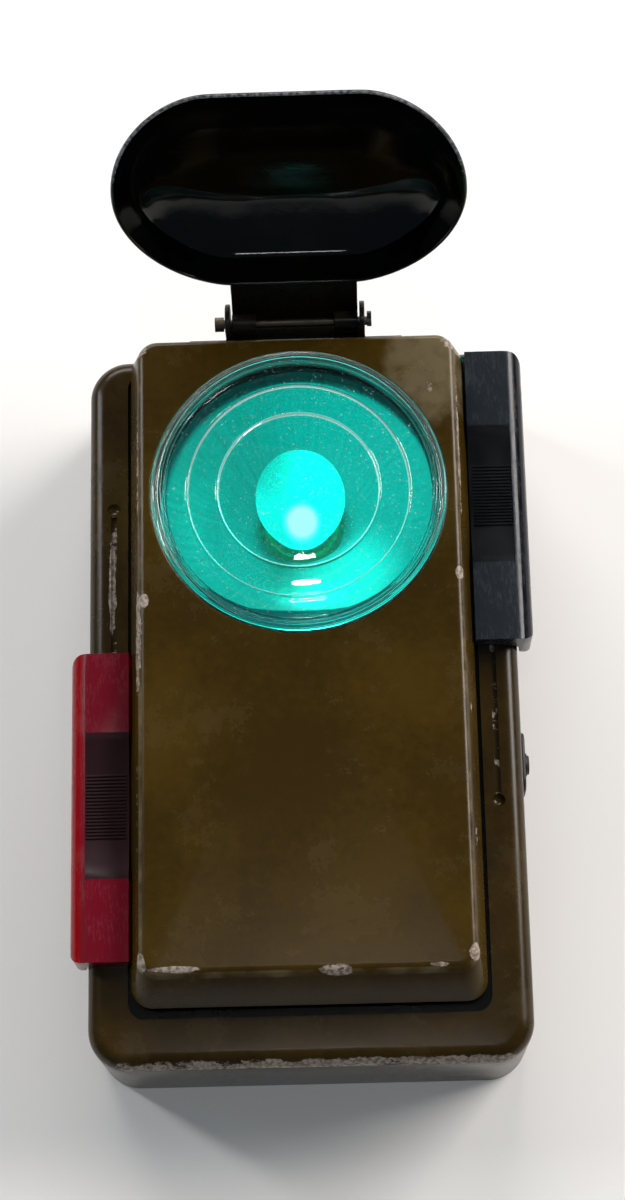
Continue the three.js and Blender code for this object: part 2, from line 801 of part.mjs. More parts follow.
// The bracket: a plate on the case's top end with two ears for the hood's pin.
function hinge_bracket() {
  const low_y = end_y + clearance;
  const high_z = housing_z - bracket_below_front;
  const half = bracket_width / 2;
  const plate = box([-half, low_y, high_z - bracket_drop], [half, low_y + bracket_sheet, high_z]);
  const ear_x = hood_tongue_width / 2 + clearance;
  const ears = [-1, 1].map((side) => {
    const low = side > 0 ? ear_x : -ear_x - bracket_sheet;
    const round = bar("x", ear_radius, low, low + bracket_sheet, [hood_axis.y, hood_axis.z]);
    const root = run_along_x(
      [
        [low_y + bracket_sheet / 2, high_z - bracket_drop / 2],
        [hood_axis.y + ear_radius, hood_axis.z],
        [low_y, hood_axis.z],
        [low_y, high_z - bracket_drop / 2],
      ],
      low,
      low + bracket_sheet,
    );
    const trim = box([-case_width, low_y - case_width, 0], [case_width, low_y, case_width]);
    return round.add(root).subtract(trim);
  });
  const shelf_x = ear_x + bracket_sheet / 2;
  const shelf = box([-shelf_x, low_y, high_z - bracket_sheet], [shelf_x, low_y + bracket_shelf, high_z]);
  const hole = bar("x", pin_radius + clearance / 2, -half, half, [hood_axis.y, hood_axis.z]);
  const holes = rivet_places().map(([x, z]) =>
    bar("y", rivet_radius / 2 + clearance, low_y - overrun, low_y + bracket_sheet + overrun, [x, z]),
  );
  const shape = plate
    .add(shelf)
    .add(wasm.Manifold.union(ears))
    .subtract(hole)
    .subtract(wasm.Manifold.union(holes));
  return piece("hinge_bracket", shape, 0x24211a, 0.5, 0.5);
}

// Where the bracket's two rivets stand, in X and Z.
function rivet_places() {
  const x = bracket_width / 2 - rivet_radius * 2;
  const z = housing_z - bracket_below_front - bracket_drop + rivet_radius * 2;
  return [
    [-x, z],
    [x, z],
  ];
}

// The rivets' outer heads and shanks, ending at the case wall.
function bracket_rivets() {
  const names = ["bracket_rivet_left", "bracket_rivet_right"];
  const head_y = end_y + clearance + bracket_sheet + clearance / 2;
  return rivet_places().map(([x, z], index) => {
    const shank = bar("y", rivet_radius / 2, end_y + clearance / 2, head_y + rivet_head / 2, [x, z]);
    const head = bar("y", rivet_radius, head_y, head_y + rivet_head / 2, [x, z]);
    const crown = bar("y", rivet_crown, head_y, head_y + rivet_head, [x, z]);
    return piece(names[index], shank.add(head).add(crown), steel, 0.4, 0.8);
  });
}

// The split pin: a round shank with an eye at its left end and two spread legs at its right.
function hinge_pin() {
  const ear = hood_tongue_width / 2 + clearance + bracket_sheet;
  const place = [hood_axis.y, hood_axis.z];
  const shank = bar("x", pin_radius, -ear - clearance, ear + pin_radius, place);
  const eye = bar("x", pin_head, -ear - clearance - pin_radius * 2, -ear - clearance, place);
  const legs = [-1, 1].map((side) => {
    const leg = box([-pin_radius / 2, -pin_radius / 2, 0], [pin_radius / 2, pin_radius / 2, pin_legs]);
    return leg.rotate([side * -45, 0, 0]).translate([ear + pin_radius, hood_axis.y, hood_axis.z]);
  });
  return piece("hinge_pin", shank.add(eye).add(wasm.Manifold.union(legs)), steel, 0.3, 0.9);
}

// A ring of the hood's dish in its own frame: X across, Y out from the hinge, Z towards what it covers.
function hood_ring([depth, near, far, width], wall) {
  const curve = new THREE.SplineCurve(
    hood_rim_shares.map(([along, across]) => new THREE.Vector2(across, along)),
  );
  const points = curve.getPoints(26);
  const low = hood_near + near * hood_length + wall;
  const high = hood_near + hood_length - far * hood_length - wall;
  const half = (hood_width / 2) * width - wall;
  const place = ({ x, y }, side) => [side * x * half, low + y * (high - low), -hood_rim_drop - depth];
  const right = points.map((point) => place(point, 1));
  const left = points.slice(1, -1).reverse().map((point) => place(point, -1));
  return [...right, ...left];
}

// The hood: dish, tongue and two knuckles.
function hood() {
  const levels = hood_level_shares;
  const rings = (wall, depth) => levels.map(([share, ...rest]) => hood_ring([share * depth, ...rest], wall)).reverse();
  const outer = loft(rings(0, hood_depth));
  const inner_rings = rings(hood_sheet, hood_depth - hood_sheet);
  const mouth = inner_rings[inner_rings.length - 1].map(([x, y, z]) => [x, y, z + overrun]);
  const dish = outer.subtract(loft([...inner_rings, mouth]));
  const half = hood_tongue_width / 2;
  const rim = -hood_rim_drop;
  const strip = [
    [-hood_tongue_past_pin, -knuckle_radius + hood_sheet],
    [-hood_tongue_past_pin, -knuckle_radius],
    [hood_near / 2, rim - hood_sheet],
    [hood_near + hood_sheet, rim - hood_sheet],
    [hood_near + hood_sheet, rim],
    [hood_near / 2, rim],
  ];
  const tongue = run_along_x(strip, -half, half);
  const knuckles = [-half, half - knuckle_length].map((low) =>
    bar("x", knuckle_radius, low, low + knuckle_length, [0, 0]),
  );
  const bore = bar("x", pin_radius + clearance / 2, -half - overrun, half + overrun, [0, 0]);
  const shape = dish.add(tongue).add(wasm.Manifold.union(knuckles)).subtract(bore);
  const made = piece("hood", shape, 0x1f1c12, 0.5, 0.3);
  const turned = new THREE.Group();
  turned.position.set(0, hood_axis.y, hood_axis.z);
  turned.rotation.x = THREE.MathUtils.degToRad(hood_angle);
  turned.add(made);
  return turned;
}

// The back cover: a flat sheet with a low flange, a pressed recess for the clip and two hinge knuckles.
function back_cover() {
  const half = side_x - case_sheet - clearance;
  const high_y = end_y - case_sheet - clearance;
  const low_y = cover_axis.y - cover_knuckle_radius + clearance;
  const corner = case_corner - case_sheet - clearance;
  const sheet = cover_sheet;
  const low_outline = (inset) => rounded(-half + inset, half - inset, low_y, high_y - inset, corner - inset);
  const flat = (outline, low, high) =>
    loft([outline.map(([x, y]) => [x, y, low]), outline.map(([x, y]) => [x, y, high])]);
  const plate = flat(low_outline(0), 0, sheet);
  const rim = flat(low_outline(0), 0, cover_flange).subtract(flat(low_outline(sheet), sheet / 2, cover_flange + overrun));
  const open_end = box(
    [-case_width, -case_length, sheet],
    [case_width, cover_axis.y + cover_knuckle_radius * 3, cover_flange + overrun],
  );
  const recess_x = clip_width / 2 + recess_margin;
  const recess_y = clip_length / 2 + recess_margin;
  const pressed = (wall, low, high) =>
    box(
      [-recess_x - wall, clip_y - recess_y - wall, low],
      [recess_x + wall, clip_y + recess_y + wall, high],
    );
  const knuckles = [-1, 1].map((side) => {
    const middle = side * cover_knuckle_from_middle;
    const low = middle - cover_knuckle_length / 2;
    return bar("x", cover_knuckle_radius, low, low + cover_knuckle_length, [cover_axis.y, cover_axis.z]);
  });
  const half_gap = case_knuckle_length / 2 + clearance;
  const notch = box(
    [-half_gap, -case_length, -overrun],
    [half_gap, cover_axis.y + cover_knuckle_radius + clearance, cover_flange],
  );
  const pin_hole = bar("x", cover_pin_radius + clearance / 2, -case_width, case_width, [cover_axis.y, cover_axis.z]);
  const corner_y = cover_axis.y + cover_knuckle_radius + overrun;
  const corner_cuts = [-1, 1].map((side) =>
    box(
      [side > 0 ? half - corner : -case_width, -case_length, -overrun],
      [side > 0 ? case_width : corner - half, corner_y, cover_flange + overrun],
    ),
  );
  const shape = plate
    .add(rim.subtract(open_end))
    .add(pressed(sheet, 0, recess_depth + sheet))
    .subtract(pressed(0, -overrun, recess_depth))
    .subtract(notch)
    .subtract(wasm.Manifold.union(corner_cuts))
    .add(wasm.Manifold.union(knuckles))
    .subtract(pin_hole);
  return piece("back_cover", shape, olive_inside, 0.55, 0.3);
}

// The cover's hinge pin, across both knuckles and the case's own.
function cover_hinge_pin() {
  const half = cover_knuckle_from_middle + cover_knuckle_length / 2 + clearance;
  return piece("cover_hinge_pin", bar("x", cover_pin_radius, -half, half, [cover_axis.y, cover_axis.z]), steel, 0.3, 0.9);
}

// The spring strip on the cover that snaps under the case's top wall.
function cover_catch() {
  const low_z = cover_sheet + clearance;
  const high_y = end_y - case_sheet - clearance - cover_sheet - clearance;
  const strip = [
    [high_y - catch_length, low_z],
    [high_y, low_z],
    [high_y, low_z + cover_flange],
    [high_y - catch_strip, low_z + cover_flange],
    [high_y - catch_strip, low_z + catch_strip],
    [high_y - catch_length, low_z + catch_strip],
  ];
  return piece("cover_catch", run_along_x(strip, -catch_width / 2, catch_width / 2), steel, 0.3, 0.9);
}

// The belt clip, flush with the back in the cover's recess, and its two rivets.
function belt_clip() {
  const half = clip_width / 2;
  const low_y = clip_y - clip_length / 2;
  const high_y = clip_y + clip_length / 2;
  const s = clip_strip;
  const seat_z = recess_depth - clearance;
  const foot = clip_foot;
  const strip = [
    [low_y, clearance + s],
    [low_y, clearance],
    [high_y - foot - seat_z, clearance],
    [high_y - foot, seat_z - s],
    [high_y, seat_z - s],
    [high_y, seat_z],
    [high_y - foot - s / 2, seat_z],
    [high_y - foot - seat_z, clearance + s],
  ];
  const places = [-half / 2, half / 2].map((x) => [x, high_y - foot / 2]);
  const holes = places.map(([x, y]) => bar("z", clip_rivet_radius + clearance / 2, 0, recess_depth, [x, y]));
  const shape = run_along_x(strip, -half, half).subtract(wasm.Manifold.union(holes));
  const names = ["clip_rivet_left", "clip_rivet_right"];
  const rivets = places.map(([x, y], index) => {
    const shank = bar("z", clip_rivet_radius, clearance, recess_depth - clearance, [x, y]);
    const head = bar("z", clip_rivet_head, clearance, seat_z - s - clearance, [x, y]);
    return piece(names[index], shank.add(head), steel, 0.4, 0.8);
  });
  return [piece("belt_clip", shape, 0x2c2920, 0.4, 0.7), ...rivets];
}

const lamp = new THREE.Group();
lamp.add(case_shell(), front_housing(), lens(), ...lens_rings());
lamp.add(reflector(), ...bulb(), bulb_socket(), contact_board(), centre_contact());
lamp.add(...battery(), switch_contact(), switch_slide(), morse_button());
lamp.add(filter_slide("red_filter_slide", -1, red_z, filter_y.down, 0x8c1020));
lamp.add(filter_slide("green_filter_slide", 1, green_z, filter_y.up, 0x0f3f3c));
lamp.add(hinge_bracket(), ...bracket_rivets(), hinge_pin(), hood());
lamp.add(back_cover(), cover_hinge_pin(), cover_catch(), ...belt_clip());

export default lamp;
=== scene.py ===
import json
import math

import bmesh
import bpy
from mathutils import Matrix, Vector
from mathutils.geometry import interpolate_bezier


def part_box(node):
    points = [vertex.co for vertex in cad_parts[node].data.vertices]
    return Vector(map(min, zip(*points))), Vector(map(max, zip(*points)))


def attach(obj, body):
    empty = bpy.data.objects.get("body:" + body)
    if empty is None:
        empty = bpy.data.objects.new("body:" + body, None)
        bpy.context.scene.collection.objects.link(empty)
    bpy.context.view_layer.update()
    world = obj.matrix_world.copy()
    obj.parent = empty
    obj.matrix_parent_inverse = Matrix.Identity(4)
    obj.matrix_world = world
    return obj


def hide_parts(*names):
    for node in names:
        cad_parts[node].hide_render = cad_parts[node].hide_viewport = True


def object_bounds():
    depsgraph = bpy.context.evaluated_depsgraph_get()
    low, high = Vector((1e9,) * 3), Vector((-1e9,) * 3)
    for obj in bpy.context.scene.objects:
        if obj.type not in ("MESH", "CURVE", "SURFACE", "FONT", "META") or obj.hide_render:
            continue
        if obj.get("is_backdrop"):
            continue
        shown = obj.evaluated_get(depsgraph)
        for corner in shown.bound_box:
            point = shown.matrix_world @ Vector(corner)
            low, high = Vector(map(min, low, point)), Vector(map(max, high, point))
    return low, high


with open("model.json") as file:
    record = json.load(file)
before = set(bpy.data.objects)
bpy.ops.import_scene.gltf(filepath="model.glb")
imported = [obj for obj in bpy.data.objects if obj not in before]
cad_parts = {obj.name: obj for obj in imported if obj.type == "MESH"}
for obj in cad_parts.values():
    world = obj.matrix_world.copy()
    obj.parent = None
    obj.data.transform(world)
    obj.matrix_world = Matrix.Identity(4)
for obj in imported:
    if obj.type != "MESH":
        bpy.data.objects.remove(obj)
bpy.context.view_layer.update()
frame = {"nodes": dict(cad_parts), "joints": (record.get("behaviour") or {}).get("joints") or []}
nodes = frame["nodes"]
mm = 0.001

# The camera: it looks down on the lamp, a little from the side of its foot, from under half a metre away.
# Its tilt, turn and roll, its distance and the point it looks at give the photograph's view.
tilt = math.radians(17.23)
turn = math.radians(0.84)
roll = math.radians(-1.53)
distance = 450 * mm
target = Vector((1.89, 17.15, 27)) * mm
focal_length = 76.93
film_width = 36
aim = Matrix.Rotation(tilt, 4, "X") @ Matrix.Rotation(turn, 4, "Y") @ Matrix.Rotation(roll, 4, "Z")
camera = bpy.data.objects.new("camera", bpy.data.cameras.new("camera"))
camera.data.lens = focal_length
camera.data.sensor_width = film_width
camera.matrix_world = Matrix.Translation(target + aim.to_3x3() @ Vector((0, 0, distance))) @ aim
bpy.context.scene.collection.objects.link(camera)
bpy.context.scene.camera = camera


# The table: a plain pale cloth, far wider than the lamp, which takes its soft shadow. A faint light of its
# own keeps it pale to the camera, and in metal and glass, and doesn't light dull surfaces.
class Signal:
    """One output of a material's nodes. Arithmetic on it adds Math nodes."""

    def __init__(self, surface, socket):
        self.surface = surface
        self.socket = socket

    def math(self, operation, *values):
        """A Math node that works on the values alone."""
        return self.surface.node("ShaderNodeMath", {"operation": operation}, dict(enumerate(values)))

    def __add__(self, other):
        return self.math("ADD", self, other)

    def __sub__(self, other):
        return self.math("SUBTRACT", self, other)

    def __rsub__(self, other):
        return self.math("SUBTRACT", other, self)

    def __mul__(self, other):
        return self.math("MULTIPLY", self, other)

    def __truediv__(self, other):
        return self.math("DIVIDE", self, other)

    def __pow__(self, other):
        return self.math("POWER", self, other)

    def __abs__(self):
        return self.math("ABSOLUTE", self)

    __radd__ = __add__
    __rmul__ = __mul__

    def most(self, other):
        return self.math("MAXIMUM", self, other)

    def between(self, low, high):
        """A soft step from 0 below low to 1 above high."""
        values = {"Value": self, "From Min": low, "From Max": high}
        return self.surface.node("ShaderNodeMapRange", {"interpolation_type": "SMOOTHSTEP"}, values, "Result")


class Surface:
    """A material while it is made."""

    def __init__(self, name):
        self.material = bpy.data.materials.new(name)
        self.material.use_nodes = True
        self.tree = self.material.node_tree
        self.shader = self.tree.nodes["Principled BSDF"]
        self.body = Signal(self, self.shader.outputs[0])

    def node(self, kind, settings, values, output=0):
        """Adds a node, sets it up, then gives its sockets their values or links."""
        made = self.tree.nodes.new(kind)
        for key, value in settings.items():
            setattr(made, key, value)
        self.fill(made, values)
        return Signal(self, made.outputs[output])

    def fill(self, made, values):
        for key, value in values.items():
            if isinstance(value, Signal):
                self.tree.links.new(value.socket, made.inputs[key])
            else:
                made.inputs[key].default_value = value

    def place(self, output="Object"):
        return self.node("ShaderNodeTexCoord", {}, {}, output)

    def axes(self, point):
        """The X, Y and Z of a vector."""
        made = self.node("ShaderNodeSeparateXYZ", {}, {"Vector": point}).socket.node
        return [Signal(self, made.outputs[axis]) for axis in "XYZ"]

    def noise(self, size, detail=4.0, roughness=0.55, stretch=(1, 1, 1)):
        """Noise with features of a size in metres, longer along the axes that are stretched."""
        scale = tuple(1 / (size * share) for share in stretch)
        point = self.node("ShaderNodeMapping", {}, {"Vector": self.place(), "Scale": scale})
        values = {"Vector": point, "Scale": 1.0, "Detail": detail, "Roughness": roughness}
        return self.node("ShaderNodeTexNoise", {}, values, "Fac")

    def blend(self, share, first, second):
        """A colour between two, by a share. A Mix node takes colours in its sockets 6 and 7."""
        values = {0: share, 6: first, 7: second}
        return self.node("ShaderNodeMix", {"data_type": "RGBA"}, values, 2)

    def mixed(self, share, first, second):
        """A shader between two, by a share."""
        return self.node("ShaderNodeMixShader", {}, {"Fac": share, 1: first, 2: second})

    def bump(self, height, depth, strength):
        return self.node("ShaderNodeBump", {}, {"Height": height, "Distance": depth, "Strength": strength})

    def finish(self, **values):
        """Fills the shader's sockets, written with underscores for spaces."""
        self.fill(self.shader, {key.replace("_", " "): value for key, value in values.items()})
        return self.material

    def show(self, shader):
        """Makes a shader the one that the material shows."""
        self.fill(self.tree.nodes["Material Output"], {"Surface": shader})


def tint(red, green, blue):
    """A colour as a screen shows it, made linear for the shader."""
    screen_curve = 2.2
    linear = [(share / 255) ** screen_curve for share in (red, green, blue)]
    return (*linear, 1.0)


table_half = 3.0
own_light = 0.07
floor_mesh = bmesh.new()
bmesh.ops.create_grid(floor_mesh, x_segments=1, y_segments=1, size=table_half)
floor_data = bpy.data.meshes.new("table_cloth")
floor_mesh.to_mesh(floor_data)
floor_mesh.free()
floor = bpy.data.objects.new("table_cloth", floor_data)
bpy.context.scene.collection.objects.link(floor)
cloth = Surface("pale_cloth")
cloth.finish(Base_Color=tint(236, 232, 228), Roughness=0.9)
seen = cloth.node("ShaderNodeLightPath", {}, {}, "Is Camera Ray")
for ray in ("Is Glossy Ray", "Is Transmission Ray"):
    seen = seen.most(cloth.node("ShaderNodeLightPath", {}, {}, ray))
shine = cloth.node("ShaderNodeEmission", {}, {"Color": tint(250, 246, 242), "Strength": seen * own_light})
cloth.show(cloth.node("ShaderNodeAddShader", {}, {0: cloth.body, 1: shine}))
floor_data.materials.append(cloth.material)
floor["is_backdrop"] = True

# The light: a broad window at the right, a wide one beyond the hood, a narrow one at the left and a small
# lamp overhead, in a dim bluish room. They give the enamel its soft sheens and the cloth its faint shadow.
room_colour = (0.6, 0.8, 1.0, 1.0)
room_strength = 0.14
room = bpy.data.worlds.new("room")
room.use_nodes = True
room.node_tree.nodes["Background"].inputs["Color"].default_value = room_colour
room.node_tree.nodes["Background"].inputs["Strength"].default_value = room_strength
bpy.context.scene.world = room
bpy.context.scene.view_settings.view_transform = "Standard"


def soft_lamp(name, place, size, power, colour):
    """A flat lamp, so wide and so high, that faces the middle of the object."""
    data = bpy.data.lights.new(name, "AREA")
    data.shape = "RECTANGLE"
    data.size, data.size_y = size
    data.energy = power
    data.color = colour
    lamp = bpy.data.objects.new(name, data)
    lamp.location = place
    lamp.rotation_mode = "QUATERNION"
    lamp.rotation_quaternion = (target - Vector(place)).to_track_quat("-Z", "Y")
    bpy.context.scene.collection.objects.link(lamp)


soft_lamp("window", (1.1, 0.62, 0.82), (0.9, 0.5), 24, (1.0, 0.97, 0.94))
soft_lamp("far_window", (-0.2, 1.3, 0.78), (1.1, 0.5), 15, (1.0, 0.98, 0.96))
soft_lamp("left_window", (-0.9, 0.5, 0.72), (0.14, 0.7), 5, (0.96, 0.98, 1.0))
soft_lamp("ceiling", (0.012, -0.1, 1.6), (0.2, 0.045), 1.1, (1.0, 0.98, 0.94))

# The case: a tray drawn from sheet steel, open at the back, with a shallow well pressed in its front and a
# groove with a click dimple at each end in both border strips. Olive-brown enamel, worn at the foot.
# Heights within level_gap count as level, and points within merge_gap as one.
level_gap = 1e-6
merge_gap = 1e-7


def middle_of(node):
    """The middle of a CAD node's box."""
    low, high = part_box(node)
    return (low + high) / 2


def upright(edge):
    """Whether an edge runs along Z."""
    first, second = (vert.co for vert in edge.verts)
    return (first - second).xy.length < merge_gap


def flat(edge, axis, value):
    """Whether both ends of an edge lie at a value on an axis."""
    return all(abs(vert.co[axis] - value) < level_gap for vert in edge.verts)


def facing(bm, axis, sign=1):
    """The faces that look along an axis, or against it."""
    return [face for face in bm.faces if face.normal[axis] * sign > 0.99]


def largest(faces):
    return max(faces, key=lambda face: face.calc_area())


def brick(bm, low, high):
    """A box between two corners."""
    low, high = Vector(low), Vector(high)
    size = Matrix.Diagonal((*(high - low), 1))
    bmesh.ops.create_cube(bm, size=1.0, matrix=Matrix.Translation((low + high) / 2) @ size)


def round_off(bm, edges, radius, segments):
    """Rounds edges of a mesh."""
    bmesh.ops.bevel(
        bm,
        geom=edges,
        offset=radius,
        offset_type="OFFSET",
        segments=segments,
        profile=0.5,
        affect="EDGES",
        clamp_overlap=True,
        material=-1,
    )


def open_up(bm, faces):
    """Takes faces away, and gives the edges that they leave."""
    edges = list(dict.fromkeys(edge for face in faces for edge in face.edges))
    bmesh.ops.delete(bm, geom=faces, context="FACES_ONLY")
    return edges


def pull(bm, edges, move=(0, 0, 0)):
    """Draws a wall out of edges, and gives the points and edges of its far side."""
    grown = bmesh.ops.extrude_edge_only(bm, edges=edges)["geom"]
    verts = [item for item in grown if isinstance(item, bmesh.types.BMVert)]
    grown_edges = [item for item in grown if isinstance(item, bmesh.types.BMEdge)]
    bmesh.ops.translate(bm, vec=move, verts=verts)
    return verts, [edge for edge in grown_edges if all(vert in verts for vert in edge.verts)]


def circle(bm, middle, radius, segments):
    """The edges of a circle about a place."""
    place = Matrix.Translation(middle)
    made = bmesh.ops.create_circle(bm, cap_ends=False, radius=radius, segments=segments, matrix=place)
    return list(dict.fromkeys(edge for vert in made["verts"] for edge in vert.link_edges))


def fill_flat(bm, edges):
    """Fills the space between an outline and the outlines in it."""
    bmesh.ops.triangle_fill(bm, edges=edges, use_beauty=True, normal=(0, 0, 1))


def sink(bm, edges, middle, steps):
    """Presses an outline in by steps of (share of its width that is left, depth), and closes its bottom."""
    for narrower, deeper in steps:
        verts, edges = pull(bm, edges, (0, 0, -deeper))
        for vert in verts:
            vert.co.xy = middle.xy + (vert.co.xy - middle.xy) * narrower
    bmesh.ops.contextual_create(bm, geom=edges)


def make(name, bm, material, body, stands_for=(), crease=40):
    """Turns a mesh under construction into a named piece that rides on a body and stands for CAD nodes."""
    data = bpy.data.meshes.new(name)
    bm.to_mesh(data)
    bm.free()
    data.materials.append(material)
    data.polygons.foreach_set("use_smooth", [True] * len(data.polygons))
    data.set_sharp_from_angle(angle=math.radians(crease))
    piece = bpy.data.objects.new(name, data)
    bpy.context.scene.collection.objects.link(piece)
    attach(piece, body)
    if stands_for:
        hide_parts(*stands_for)
    return piece


def thicken(piece, thickness, even=True):
    """Gives a sheet its thickness, inwards from its faces."""
    wall = piece.modifiers.new("sheet", "SOLIDIFY")
    wall.thickness = thickness
    wall.offset = -1
    wall.use_even_offset = even


def soften(piece, radius, segments=2, angle=50):
    """Breaks a piece's sharp edges."""
    edge = piece.modifiers.new("edges", "BEVEL")
    edge.width = radius
    edge.segments = segments
    edge.limit_method = "ANGLE"
    edge.angle_limit = math.radians(angle)
    edge.harden_normals = False


primer = (tint(112, 98, 86), tint(170, 156, 142))


def worn_enamel(
    name, dark, light, chips_and_highlight, wear_and_highlight, painted_shade=None, bare=primer, chip_size=2.4 * mm, shine=0.26, gloss=0.2
):
    """Old enamel on steel: mottled paint, rubbed edges, and what lies bare where it has chipped. The three
    mask functions take the surface and give the chipped places, the rubbed places and the painted shade; for
    some pieces the first two also hold painted highlights."""
    dusty = tint(112, 98, 70)
    pale_wear_and_highlight = tint(118, 105, 80)
    shade_colour = tint(9, 7, 5)
    paint = Surface(name)
    broad = paint.noise(28 * mm, detail=3)
    fine = paint.noise(1.6 * mm, detail=6, roughness=0.7)
    speck = paint.noise(0.5 * mm, detail=3)
    colour = paint.blend((broad * 0.7 + fine * 0.3).between(0.38, 0.62), dark, light)
    dust = (paint.noise(12 * mm, detail=4) * 0.85 + speck * 0.15).between(0.5, 0.75)
    colour = paint.blend(dust * 0.07, colour, dusty)
    # Rubbed paint goes paler; where a piece's mask holds a painted highlight, that is painted pale the same
    # way.
    rubbed_and_highlight = (wear_and_highlight(paint) * 0.7 + paint.noise(4 * mm, detail=5) * 0.6).between(0.72, 1.05)
    colour = paint.blend(rubbed_and_highlight * 0.7, colour, pale_wear_and_highlight)
    # Painted shade: where its mask says, the colour is darkened to near black.
    if painted_shade:
        colour = paint.blend(painted_shade(paint), colour, shade_colour)
    # Chipped places show bare primer or metal; where a piece's mask also holds a painted highlight, that is
    # painted the same way.
    flakes = paint.noise(chip_size, detail=8, roughness=0.72, stretch=(1.8, 1, 1))
    chipped_and_highlight = (chips_and_highlight(paint) * 0.5 + flakes * 0.9).between(0.79, 0.83)
    colour = paint.blend(chipped_and_highlight, colour, paint.blend(paint.noise(0.7 * mm).between(0.38, 0.62), *bare))
    height = fine * 0.25 + paint.noise(5 * mm) * 0.6 - chipped_and_highlight * 0.8
    return paint.finish(
        Base_Color=colour,
        Roughness=(fine * 0.5 + dust * 0.4 + 0.7) * shine + chipped_and_highlight * 0.2,
        Specular_IOR_Level=gloss,
        Normal=paint.bump(height, 0.08 * mm, 0.5),
    )


def patch(paint, point, middle, size):
    """A soft oval mask about a place on the surface, in metres: 1 in its middle, 0 at its rim. An axis along
    which it has no size isn't looked at."""
    parts = zip(paint.axes(point), middle, size)
    spread = sum(((axis - at) / half) ** 2 for axis, at, half in parts if half)
    return 1 - spread.between(0.0, 1.0)


case_low, case_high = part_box("case_shell")
case_sheet = 1 * mm
case_corner = 7 * mm
case_edge = 3 * mm
well_depth = 1.6 * mm
well_low = Vector((-30.55, -55.5)) * mm
well_high = Vector((30.55, 60.6)) * mm
well_middle = (well_low + well_high) / 2
well_half = (well_high - well_low) / 2
well_floor = case_high.z - well_depth
well_inset = 1 * mm
lamp_mouth = 24.6 * mm
border_x = 30 * mm
groove_x = 33 * mm
groove_half = 0.5 * mm
groove_depth = 0.45 * mm
dimple_radius = 1.15 * mm
dimple_steps = [(0.86, 0.3 * mm), (0.6, 0.26 * mm), (0.3, 0.1 * mm)]
groove_gap = 1.2 * dimple_radius
upper_click = middle_of("green_filter_slide").y
lower_click = middle_of("red_filter_slide").y
lens_middle = middle_of("lens")
switch_low = Vector((0, -18.9, 9.1)) * mm
switch_high = Vector((0, -6.3, 15.9)) * mm

bm = bmesh.new()
brick(bm, case_low, case_high)
round_off(bm, [edge for edge in bm.edges if upright(edge)], case_corner, segments=18)
round_off(bm, [edge for edge in bm.edges if flat(edge, 2, case_high.z)], case_edge, segments=8)
open_up(bm, facing(bm, 2, -1))

# Its well starts as an inset of the front, which is stretched to the well's own outline and pressed in.
front = largest(facing(bm, 2))
bmesh.ops.inset_region(bm, faces=[front], thickness=well_inset, use_even_offset=True)
inset_x = [vert.co.x for vert in front.verts]
inset_y = [vert.co.y for vert in front.verts]
inset_low = Vector((min(inset_x), min(inset_y)))
inset_high = Vector((max(inset_x), max(inset_y)))
wider = (well_high.x - well_low.x) / (inset_high.x - inset_low.x)
longer = (well_high.y - well_low.y) / (inset_high.y - inset_low.y)
from_inset = Matrix.Translation(-((inset_low + inset_high) / 2).to_3d())
to_well = Matrix.Translation(well_middle.to_3d())
stretch = to_well @ Matrix.Diagonal((wider, longer, 1, 1)) @ from_inset
bmesh.ops.transform(bm, matrix=stretch, verts=list(front.verts))
pull(bm, open_up(bm, [front]), (0, 0, -well_depth))
well_edges = [edge for edge in bm.edges if flat(edge, 2, well_floor)]
fill_flat(bm, well_edges + circle(bm, (0, lens_middle.y, well_floor), lamp_mouth, segments=96))

# Each border strip is filled again round a groove and its two dimples.
for side in (-1, 1):
    strips = [face for face in facing(bm, 2) if face.calc_center_median().x * side > border_x]
    strip_edges = open_up(bm, [largest(strips)])
    groove_middle = Vector((side * groove_x, (upper_click + lower_click) / 2, case_high.z))
    groove_size = Matrix.Diagonal((2 * groove_half, upper_click - lower_click - 2 * groove_gap, 1, 1))
    place = Matrix.Translation(groove_middle) @ groove_size
    groove = bmesh.ops.create_grid(bm, x_segments=1, y_segments=1, size=0.5, matrix=place)["verts"]
    groove_edges = open_up(bm, list(groove[0].link_faces))
    clicks = [Vector((side * groove_x, along, case_high.z)) for along in (upper_click, lower_click)]
    dimples = [circle(bm, click, dimple_radius, segments=28) for click in clicks]
    fill_flat(bm, strip_edges + groove_edges + dimples[0] + dimples[1])
    sink(bm, groove_edges, groove_middle, [(1, groove_depth)])
    for click, dimple in zip(clicks, dimples):
        sink(bm, dimple, click, dimple_steps)
bmesh.ops.recalc_face_normals(bm, faces=list(bm.faces))

# The switch stands in an opening of the right wall, cut out along its four sides.
wall = [largest(facing(bm, 0))]
for corner in (switch_low, switch_high):
    for normal in ((0, 1, 0), (0, 0, 1)):
        parts = list(dict.fromkeys(item for face in wall for item in (face, *face.edges, *face.verts)))
        cut = bmesh.ops.bisect_plane(bm, geom=parts, dist=merge_gap, plane_co=corner, plane_no=normal)["geom"]
        wall = [item for item in cut if isinstance(item, bmesh.types.BMFace)]
opening = []
for face in wall:
    middle = face.calc_center_median()
    if switch_low.y < middle.y < switch_high.y and switch_low.z < middle.z < switch_high.z:
        opening.append(face)
open_up(bm, opening)


